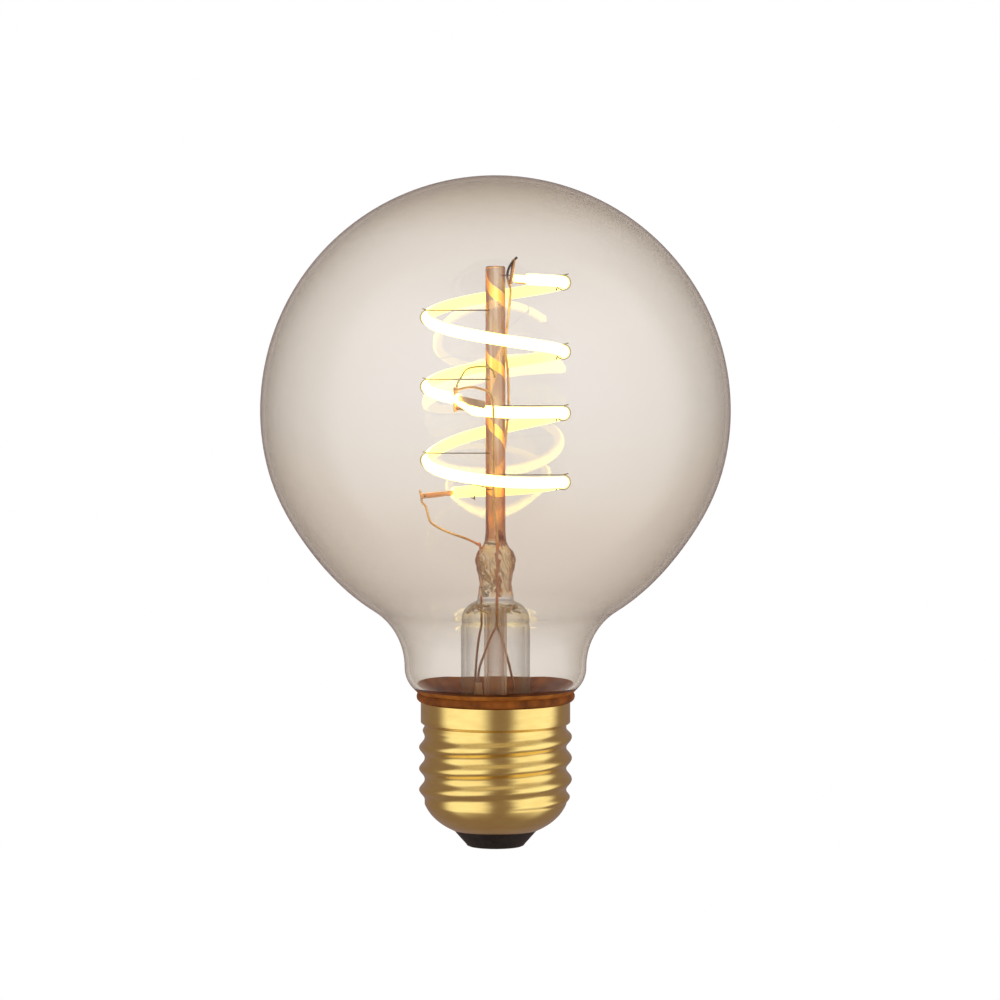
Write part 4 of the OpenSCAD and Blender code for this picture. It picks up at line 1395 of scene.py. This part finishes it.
class Hooks(NodeGroup):
    """The thin support wires: each leaves the rod and turns round a strip."""

    PLACES = (0, 360, 720, 1080, 180, 540, 900, 1190)
    NODES = (
        "right_hook_top", "right_hook_upper", "right_hook_middle", "right_hook_bottom", "left_hook_top",
        "left_hook_middle", "left_hook_bottom", "back_hook",
    )

    def __init__(self) -> None:
        """Builds the tree: a straight wire and an arc, put at each point by its turn."""
        super().__init__(
            "strip_hooks",
            {"Wire radius": ("NodeSocketFloat", 0.15 * MM), "Hook radius": ("NodeSocketFloat", 1.25 * MM),
             "Root radius": ("NodeSocketFloat", 0.7 * MM), "Spiral radius": ("NodeSocketFloat", 11.5 * MM),
             "Turn": ("NodeSocketFloat", math.radians(235)), "Tail": ("NodeSocketFloat", 0.7 * MM),
             "Tick": ("NodeSocketFloat", 0.9 * MM)},
        )
        size = self.start.outputs
        root = self.add("ShaderNodeCombineXYZ", {"X": size["Root radius"], "Z": size["Hook radius"]})
        bend = self.add("ShaderNodeCombineXYZ", {"X": size["Spiral radius"], "Z": size["Hook radius"]})
        run = self.add("GeometryNodeCurvePrimitiveLine", {"Start": root.outputs[0], "End": bend.outputs[0]})
        ring = self.add(
            "GeometryNodeCurveArc",
            {"Resolution": 40, "Radius": size["Hook radius"], "Start Angle": math.pi / 2,
             "Sweep Angle": self.add("ShaderNodeMath", {0: size["Turn"], 1: -1.0}, operation="MULTIPLY").outputs[0]},
        )
        there = self.add("ShaderNodeCombineXYZ", {"X": size["Spiral radius"]})
        stood = self.add(
            "GeometryNodeTransform",
            {"Geometry": ring.outputs["Curve"], "Translation": there.outputs[0], "Rotation": (math.pi / 2, 0, 0)},
        )
        over = self.add("ShaderNodeMath", {0: size["Turn"]}, operation="SINE").outputs[0]
        down = self.add("ShaderNodeMath", {0: size["Turn"]}, operation="COSINE").outputs[0]
        end_x = self.add(
            "ShaderNodeMath", {0: over, 1: size["Hook radius"], 2: size["Spiral radius"]}, operation="MULTIPLY_ADD"
        ).outputs[0]
        end_z = self.add("ShaderNodeMath", {0: down, 1: size["Hook radius"]}, operation="MULTIPLY").outputs[0]
        leave = self.add("ShaderNodeCombineXYZ", {"X": end_x, "Z": end_z}).outputs[0]
        fall = self.add("ShaderNodeVectorMath", {0: (-0.25, 0.1, -1.0), 3: size["Tail"]}, operation="SCALE").outputs[0]
        drop = self.add("ShaderNodeVectorMath", {0: leave, 1: fall}, operation="ADD").outputs[0]
        tail = self.add("GeometryNodeCurvePrimitiveLine", {"Start": leave, "End": drop})
        past = self.add("ShaderNodeVectorMath", {0: (1.0, 0.1, 0.28), 3: size["Tick"]}, operation="SCALE").outputs[0]
        beyond = self.add("ShaderNodeVectorMath", {0: bend.outputs[0], 1: past}, operation="ADD").outputs[0]
        tick = self.add("GeometryNodeCurvePrimitiveLine", {"Start": bend.outputs[0], "End": beyond})
        both = self.tree.nodes.new("GeometryNodeJoinGeometry")
        self.tree.links.new(run.outputs["Curve"], both.inputs[0])
        self.tree.links.new(tail.outputs["Curve"], both.inputs[0])
        self.tree.links.new(tick.outputs["Curve"], both.inputs[0])
        self.tree.links.new(stood.outputs[0], both.inputs[0])
        section = self.add("GeometryNodeCurvePrimitiveCircle", {"Resolution": 10, "Radius": size["Wire radius"]})
        wire = self.add(
            "GeometryNodeCurveToMesh",
            {"Curve": both.outputs[0], "Profile Curve": section.outputs["Curve"], "Fill Caps": True},
        )
        turn = self.tree.nodes.new("GeometryNodeInputNamedAttribute")
        turn.data_type = "FLOAT_VECTOR"
        turn.inputs["Name"].default_value = "turn"
        placed = self.add(
            "GeometryNodeInstanceOnPoints",
            {"Points": size["Geometry"], "Instance": wire.outputs["Mesh"], "Rotation": turn.outputs[0]},
        )
        self.end(placed.outputs["Instances"])

    def build(self) -> None:
        """Puts a hook at each place."""
        mesh = bpy.data.meshes.new("strip_supports")
        strips = [UPPER, UPPER, LOWER, LOWER, UPPER, UPPER, LOWER, LOWER]
        heights = [s.height(a) for s, a in zip(strips, self.PLACES)]
        mesh.from_pydata([(0, 0, h * MM) for h in heights], [], [])
        turns = mesh.attributes.new("turn", "FLOAT_VECTOR", "POINT")
        turns.data.foreach_set("vector", [c for a in self.PLACES for c in (0.0, 0.0, math.radians(a))])
        obj = bpy.data.objects.new("strip_supports", mesh)
        bpy.context.scene.collection.objects.link(obj)
        wires = self.apply(obj, Finish.SUPPORT.material, {"Wire radius": 0.1 * MM, "Hook radius": 1.24 * MM})
        settle(wires, None, "support_wire", *self.NODES)


@dataclass
class JointSupport:
    """The bent wire that carries the middle joint from the rod."""

    radius: float = 0.15

    def build(self, sweep: RoundSweep) -> None:
        """Makes the wire.

        Args:
            sweep: the tree that runs a round section along a path.
        """
        middle, _, side = EndTabs().joint
        points = [middle + Vector((0, 0, 1.56)) + side * (0.15 + 0.26), middle + Vector((0.25, 0.35, 2.5))]
        points += [Vector(p) for p in ((-5.75, -9.1, 81.1), (-5.0, -8.4, 82.2), (-4.0, -7.1, 82.55), (-2.6, -5.5, 82.6),
                                       (-1.4, -4.2, 82.45), (-0.5, -3.0, 81.8), (-0.2, -2.1, 80.9), (-0.1, -1.2, 80.6),
                                       (-0.1, -0.6, 80.6))]
        wire = sweep.along("joint_support_wire", smooth_path(points, 8), self.radius, 12, Finish.BEND.material)
        settle(wire, None, "support_wire", "joint_support")


@dataclass
class ScrewCap:
    """The rolled brass cap with its thread, cement, insulator and centre contact."""

    rim: float = 25.1
    collar_low: float = 20.9
    collar: float = 12.75
    crest: float = 13.05
    root: float = 12.1
    pitch: float = 3.63
    crest_height: float = 15.3
    thread_low: float = 7.4
    run_out: float = 1.6
    sheet: float = 0.3
    hole: float = 7.15
    low: float = 2.9
    cement: float = 13.5

    def thread(self, r: float, z: float, a: float) -> tuple[float, float]:
        """Lifts a ring's points to the thread.

        Args:
            r: the ring's radius without the thread.
            z: its height.
            a: the angle in radians.

        Returns:
            The point's x and y.
        """
        share = ease((z - self.thread_low) / self.run_out) * ease((self.collar_low - z) / self.run_out)
        wave = (1 + math.cos(a - 2 * math.pi * (z - self.crest_height) / self.pitch)) / 2
        lift = (self.crest - self.root) * share * wave**1.15
        return (r + lift) * math.cos(a), (r + lift) * math.sin(a)

    def wall(self, inset: float) -> list[tuple[float, float]]:
        """Draws the shell's profile from its hole up to its rim.

        Args:
            inset: how far it is drawn in from the outer face.

        Returns:
            Points (radius, height).
        """
        knee = (self.root * 0.9 - inset / 2, mix(self.low, self.thread_low, 0.36) + inset)
        foot, top = (self.hole, self.low + inset), (self.root - inset, self.thread_low)
        points = []
        for i in range(24):
            t = i / 24
            points.append(tuple(f * (1 - t) ** 2 + 2 * k * t * (1 - t) + e * t * t for f, k, e in zip(foot, knee, top)))
        steps = 92
        points += [(self.root - inset, mix(self.thread_low, self.collar_low, i / steps)) for i in range(steps + 1)]
        gap = self.collar - self.root
        points += [(self.root - inset + gap * ease(i / 6), self.collar_low + inset * 0.6 + 0.6 * i / 6) for i in range(1, 7)]
        points += [(self.collar - inset, z) for z in (22.2, 23.4, self.rim - 0.25)]
        return points

    def shell(self) -> None:
        """Makes the brass shell."""
        rim = self.rim
        lip = [(self.collar - 0.03, rim - 0.1), (self.collar - 0.12, rim), (self.collar - self.sheet + 0.08, rim)]
        profile = self.wall(0.0) + lip + self.wall(self.sheet)[::-1]
        shell = Turned(192).build("brass_screw_shell", profile, self.thread, closed=True)
        settle(shell, Finish.BRASS, "cap_brass", "cap_shell")

    def cement_ring(self) -> None:
        """Makes the brown cement between the neck and the shell, with its uneven bead."""
        globe = Globe()
        neck = [p for p in globe.profile(-0.01, 24) if 19.0 < p[1] < self.rim + 2.4]
        glass = [(globe.low_radius + 0.01, 19.0)] + neck
        top = min(glass[-1][1], 26.75)
        glass = [p for p in glass if p[1] <= top]
        bore = self.collar - self.sheet - 0.05
        out = [(11.72, 19.0), (11.72, 21.6), (bore, 21.75), (bore, self.rim + 0.02)]
        out += [(mix(11.4, self.cement, s), self.rim + 0.03 + 1.5 * t) for s, t in
                ((0.62, 0), (0.84, 0.03), (0.95, 0.18), (1.0, 0.42), (0.99, 0.65), (0.93, 0.85))]
        out += [(max(glass[-1][0] + 0.12, 13.2), self.rim + 1.56)]

        def sag(r: float, z: float, a: float) -> tuple[float, float]:
            """Makes the bead above the rim a little uneven."""
            lift = 0.07 * ease((z - self.rim) / 0.4) if r > 12.9 else 0.0
            k = r + lift * (math.sin(5 * a + 0.6) * 0.6 + math.sin(11 * a + z) * 0.4)
            return k * math.cos(a), k * math.sin(a)

        ring = Turned(144).build("cement_bead", out + glass[::-1], sag, closed=True)
        settle(ring, Finish.CEMENT, "cement", "basing_cement")

    def insulator(self) -> None:
        """Makes the black insulator with its rounded foot."""
        r = self.hole - 0.06
        profile = [(0.0, 0.37), (3.4, 0.37), (3.42, 0.3), (3.55, 0.17), (4.1, 0.15), (4.5, 0.17)]
        profile += [(4.86, 0.32), (5.08, 0.62), (6.95, 2.72), (r, 2.92), (r, 3.24), (8.4, 4.1), (8.45, 5.1)]
        profile += [(8.35, 5.2), (1.05, 5.2), (1.0, 5.15), (1.0, 3.6), (0.0, 3.6)]
        body = Turned(128).build("insulator_cone", profile)
        settle(sharpen(body, 50), Finish.VITRITE, "black_glass", "cap_insulator")

    def contact(self) -> None:
        """Makes the tinned centre contact; its solder dome is the CAD node that the driver keeps."""
        disc = [(0.66, 0.0), (2.9, 0.0), (3.25, 0.03), (3.38, 0.12), (3.38, 0.3), (3.3, 0.35), (1.0, 0.35), (1.0, 3.5), (0.66, 3.5)]
        plate_disc = Turned(96).build("centre_contact_disc", disc[::-1], closed=True)
        plate_disc.data.flip_normals()
        settle(sharpen(plate_disc, 50), Finish.TINNED, "tinned_metal", "centre_contact")

    def build(self) -> None:
        """Makes the cap's pieces."""
        self.shell()
        self.cement_ring()
        self.insulator()
        self.contact()


@dataclass
class Driver:
    """The driver in the cap: its CAD solids keep their shape and get their finish."""

    looks: dict[str, Finish] = field(
        default_factory=lambda: {
            "contact_solder": Finish.TINNED, "driver_board": Finish.BOARD, "bridge_rectifier": Finish.PACKAGE,
            "driver_chip": Finish.PACKAGE, "storage_capacitor": Finish.CAPACITOR, "choke": Finish.FERRITE,
            "fuse_resistor": Finish.RESISTOR, "live_wire": Finish.LIVE, "neutral_wire": Finish.NEUTRAL,
        }
    )

    def build(self, nodes: dict[str, bpy.types.Object]) -> None:
        """Gives each carried-over CAD node its material.

        Args:
            nodes: the frame's CAD nodes by name.
        """
        for name, finish in self.looks.items():
            obj = nodes[name]
            obj.data.materials.clear()
            obj.data.materials.append(finish.material)
            LOG.info("%s keeps its CAD shape", name)


# ---- the studio


@dataclass
class Studio:
    """Camera, lamps, white surroundings and the pale floor."""

    distance: float = 1.3
    tilt: float = 5.0
    frame_width: float = 0.1702
    aim: Point = (0.77, 0.0, 59.46)
    floor: float = -0.045
    tent: float = 1.9

    def camera(self) -> None:
        """Puts the camera where the photo was taken from."""
        data = bpy.data.cameras.new("camera")
        data.sensor_width = 36.0
        data.lens = 36.0 * self.distance / self.frame_width
        data.clip_start, data.clip_end = 0.01, 100.0
        data.dof.use_dof = False
        obj = bpy.data.objects.new("camera", data)
        a = math.radians(self.tilt)
        aim = Vector(self.aim) * MM
        obj.location = aim + Vector((0, -math.cos(a), math.sin(a))) * self.distance
        obj.rotation_euler = (aim - obj.location).to_track_quat("-Z", "Y").to_euler()
        bpy.context.scene.collection.objects.link(obj)
        bpy.context.scene.camera = obj

    def lamps(self) -> None:
        """Adds two soft lamps beside the camera and a soft top lamp."""
        for name, azimuth, height, power, width in (
            ("left_softbox", -48, 0.5, 3.2, 0.9), ("right_softbox", 58, 0.5, 3.2, 0.9), ("top_softbox", 175, 1.5, 5.0, 1.2),
        ):
            data = bpy.data.lights.new(name, "AREA")
            data.energy, data.size, data.shape, data.size_y = power, width, "RECTANGLE", 1.2
            obj = bpy.data.objects.new(name, data)
            a = math.radians(azimuth)
            obj.location = Vector((math.sin(a) * 1.6, -math.cos(a) * 1.6, height))
            obj.rotation_euler = (Vector((0, 0, 0.06)) - obj.location).to_track_quat("-Z", "Y").to_euler()
            obj.visible_camera = False
            obj.visible_glossy = False
            obj.visible_transmission = False
            bpy.context.scene.collection.objects.link(obj)

    def seen(self, tree: bpy.types.NodeTree) -> bpy.types.NodeSocket:
        """Adds the share of rays that show the white backdrop: camera, gloss and glass."""
        path = tree.nodes.new("ShaderNodeLightPath")
        total = path.outputs["Is Camera Ray"]
        for label in ("Is Glossy Ray", "Is Transmission Ray"):
            node = tree.nodes.new("ShaderNodeMath")
            node.operation = "MAXIMUM"
            tree.links.new(total, node.inputs[0])
            tree.links.new(path.outputs[label], node.inputs[1])
            total = node.outputs[0]
        return total

    def world(self) -> None:
        """Makes the white surroundings: full white where seen, softer as light."""
        world = bpy.data.worlds.new("white_studio")
        world.use_nodes = True
        tree = world.node_tree
        background = tree.nodes["Background"]
        background.inputs["Color"].default_value = (1, 1, 1, 1)
        level = tree.nodes.new("ShaderNodeMapRange")
        level.inputs["To Min"].default_value = 0.75
        level.inputs["To Max"].default_value = 1.0
        tree.links.new(self.seen(tree), level.inputs["Value"])
        tree.links.new(level.outputs[0], background.inputs["Strength"])
        bpy.context.scene.world = world

    def ground(self) -> None:
        """Makes the pale floor, which fades to the white backdrop away from the object."""
        n, rings = 96, (0.0, 0.2, 0.5, 1.0, 2.0, 6.0, 30.0)
        verts: list[Point] = [(0, 0, self.floor / MM)]
        for r in rings[1:]:
            verts += [(r / MM * math.cos(2 * math.pi * k / n), r / MM * math.sin(2 * math.pi * k / n), self.floor / MM) for k in range(n)]
        faces = [[0, 1 + k, 1 + (k + 1) % n] for k in range(n)]
        for j in range(len(rings) - 2):
            a, b = 1 + j * n, 1 + (j + 1) * n
            faces += [[a + k, b + k, b + (k + 1) % n, a + (k + 1) % n] for k in range(n)]
        floor = mesh_object("pale_floor", verts, faces)
        s = Shader("pale_floor")
        s.set(Base_Color=s.ramp(s.noise(3.0), [(0.3, (0.86, 0.86, 0.86)), (0.7, (0.88, 0.88, 0.88))]), Roughness=0.6)
        length = s.add("ShaderNodeVectorMath", {0: s.place()}, operation="LENGTH")
        far = s.add("ShaderNodeMapRange", {"Value": length.outputs["Value"], "From Min": 0.05, "From Max": 0.115}, interpolation_type="SMOOTHSTEP")
        share = s.add("ShaderNodeMath", {0: far.outputs[0], 1: self.seen(s.tree)}, operation="MULTIPLY")
        white = s.add("ShaderNodeEmission", {"Strength": 1.0})
        blend = s.add("ShaderNodeMixShader")
        s.feed(blend.inputs[0], share.outputs[0])
        s.feed(blend.inputs[1], s.surface.outputs[0])
        s.feed(blend.inputs[2], white.outputs[0])
        s.feed(s.output.inputs["Surface"], blend.outputs[0])
        floor.data.materials.append(s.material)
        floor.visible_glossy = False

    def window(self, s: Shader, value: bpy.types.NodeSocket, low: float, high: float, soft: float) -> bpy.types.NodeSocket:
        """Adds a soft-edged window over a value.

        Args:
            s: the shader.
            value: an angle in degrees.
            low: where the window starts.
            high: where it ends.
            soft: width of its soft edges.

        Returns:
            1 inside the window and 0 outside.
        """
        up = s.add("ShaderNodeMapRange", {"Value": value, "From Min": low - soft, "From Max": low + soft}, interpolation_type="SMOOTHSTEP")
        down = s.add("ShaderNodeMapRange", {"Value": value, "From Min": high + soft, "From Max": high - soft}, interpolation_type="SMOOTHSTEP")
        return s.add("ShaderNodeMath", {0: up.outputs[0], 1: down.outputs[0]}, operation="MULTIPLY").outputs[0]

    def reflections(self) -> None:
        """Makes the tent that only gloss sees: two tall softboxes, a gap between them, grey sides."""
        profile = [(self.tent / MM * math.sin(math.pi * i / 24), -self.tent / MM * math.cos(math.pi * i / 24)) for i in range(25)]
        profile = [(0.0 if i in (0, 24) else r, z) for i, (r, z) in enumerate(profile)]
        tent = Turned(48).build("studio_tent", profile)
        tent.data.flip_normals()
        s = Shader("studio_tent")
        parts = s.add("ShaderNodeSeparateXYZ", {0: s.place()}).outputs
        back = s.add("ShaderNodeMath", {0: parts["Y"], 1: -1.0}, operation="MULTIPLY").outputs[0]
        around = s.add("ShaderNodeMath", {0: parts["X"], 1: back}, operation="ARCTAN2").outputs[0]
        azimuth = s.add("ShaderNodeMath", {0: around}, operation="DEGREES").outputs[0]
        height = s.add("ShaderNodeMath", {0: parts["Z"], 1: 1 / self.tent}, operation="MULTIPLY").outputs[0]
        box = self.window(s, height, -0.72, 0.8, 0.25)
        left = self.window(s, azimuth, -88, -14, 12)
        right = self.window(s, azimuth, 30, 104, 12)
        pair = s.add("ShaderNodeMath", {0: left, 1: right}, operation="ADD").outputs[0]
        lit = s.add("ShaderNodeMath", {0: pair, 1: box}, operation="MULTIPLY").outputs[0]
        tone = s.ramp(lit, [(0.0, (0.21, 0.16, 0.155)), (1.0, (0.98, 0.98, 1.0))])
        light = s.add("ShaderNodeEmission", {"Color": tone, "Strength": 1.3})
        s.feed(s.output.inputs["Surface"], light.outputs[0])
        tent.data.materials.append(s.material)
        tent.visible_camera = tent.visible_diffuse = tent.visible_transmission = False
        tent.visible_shadow = tent.visible_volume_scatter = False

    def build(self) -> None:
        """Sets up the studio."""
        bpy.context.scene.view_settings.view_transform = "Standard"
        bpy.context.scene.cycles.max_bounces = 32
        bpy.context.scene.cycles.transmission_bounces = 32
        bpy.context.scene.cycles.transparent_max_bounces = 32
        self.camera()
        self.lamps()
        self.world()
        self.ground()
        self.reflections()


def main() -> None:
    """Builds the lamp and its studio."""
    logging.basicConfig(level=logging.INFO, format="%(message)s")
    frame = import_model()
    Studio().build()
    sweep = RoundSweep()
    Globe().build()
    Stem().build(sweep)
    for strip in (UPPER, LOWER):
        strip.build(sweep)
    EndTabs().build()
    Leads().build(sweep)
    Hooks().build()
    JointSupport().build(sweep)
    ScrewCap().build()
    Driver().build(frame["nodes"])


if __name__ == "__main__":
    main()
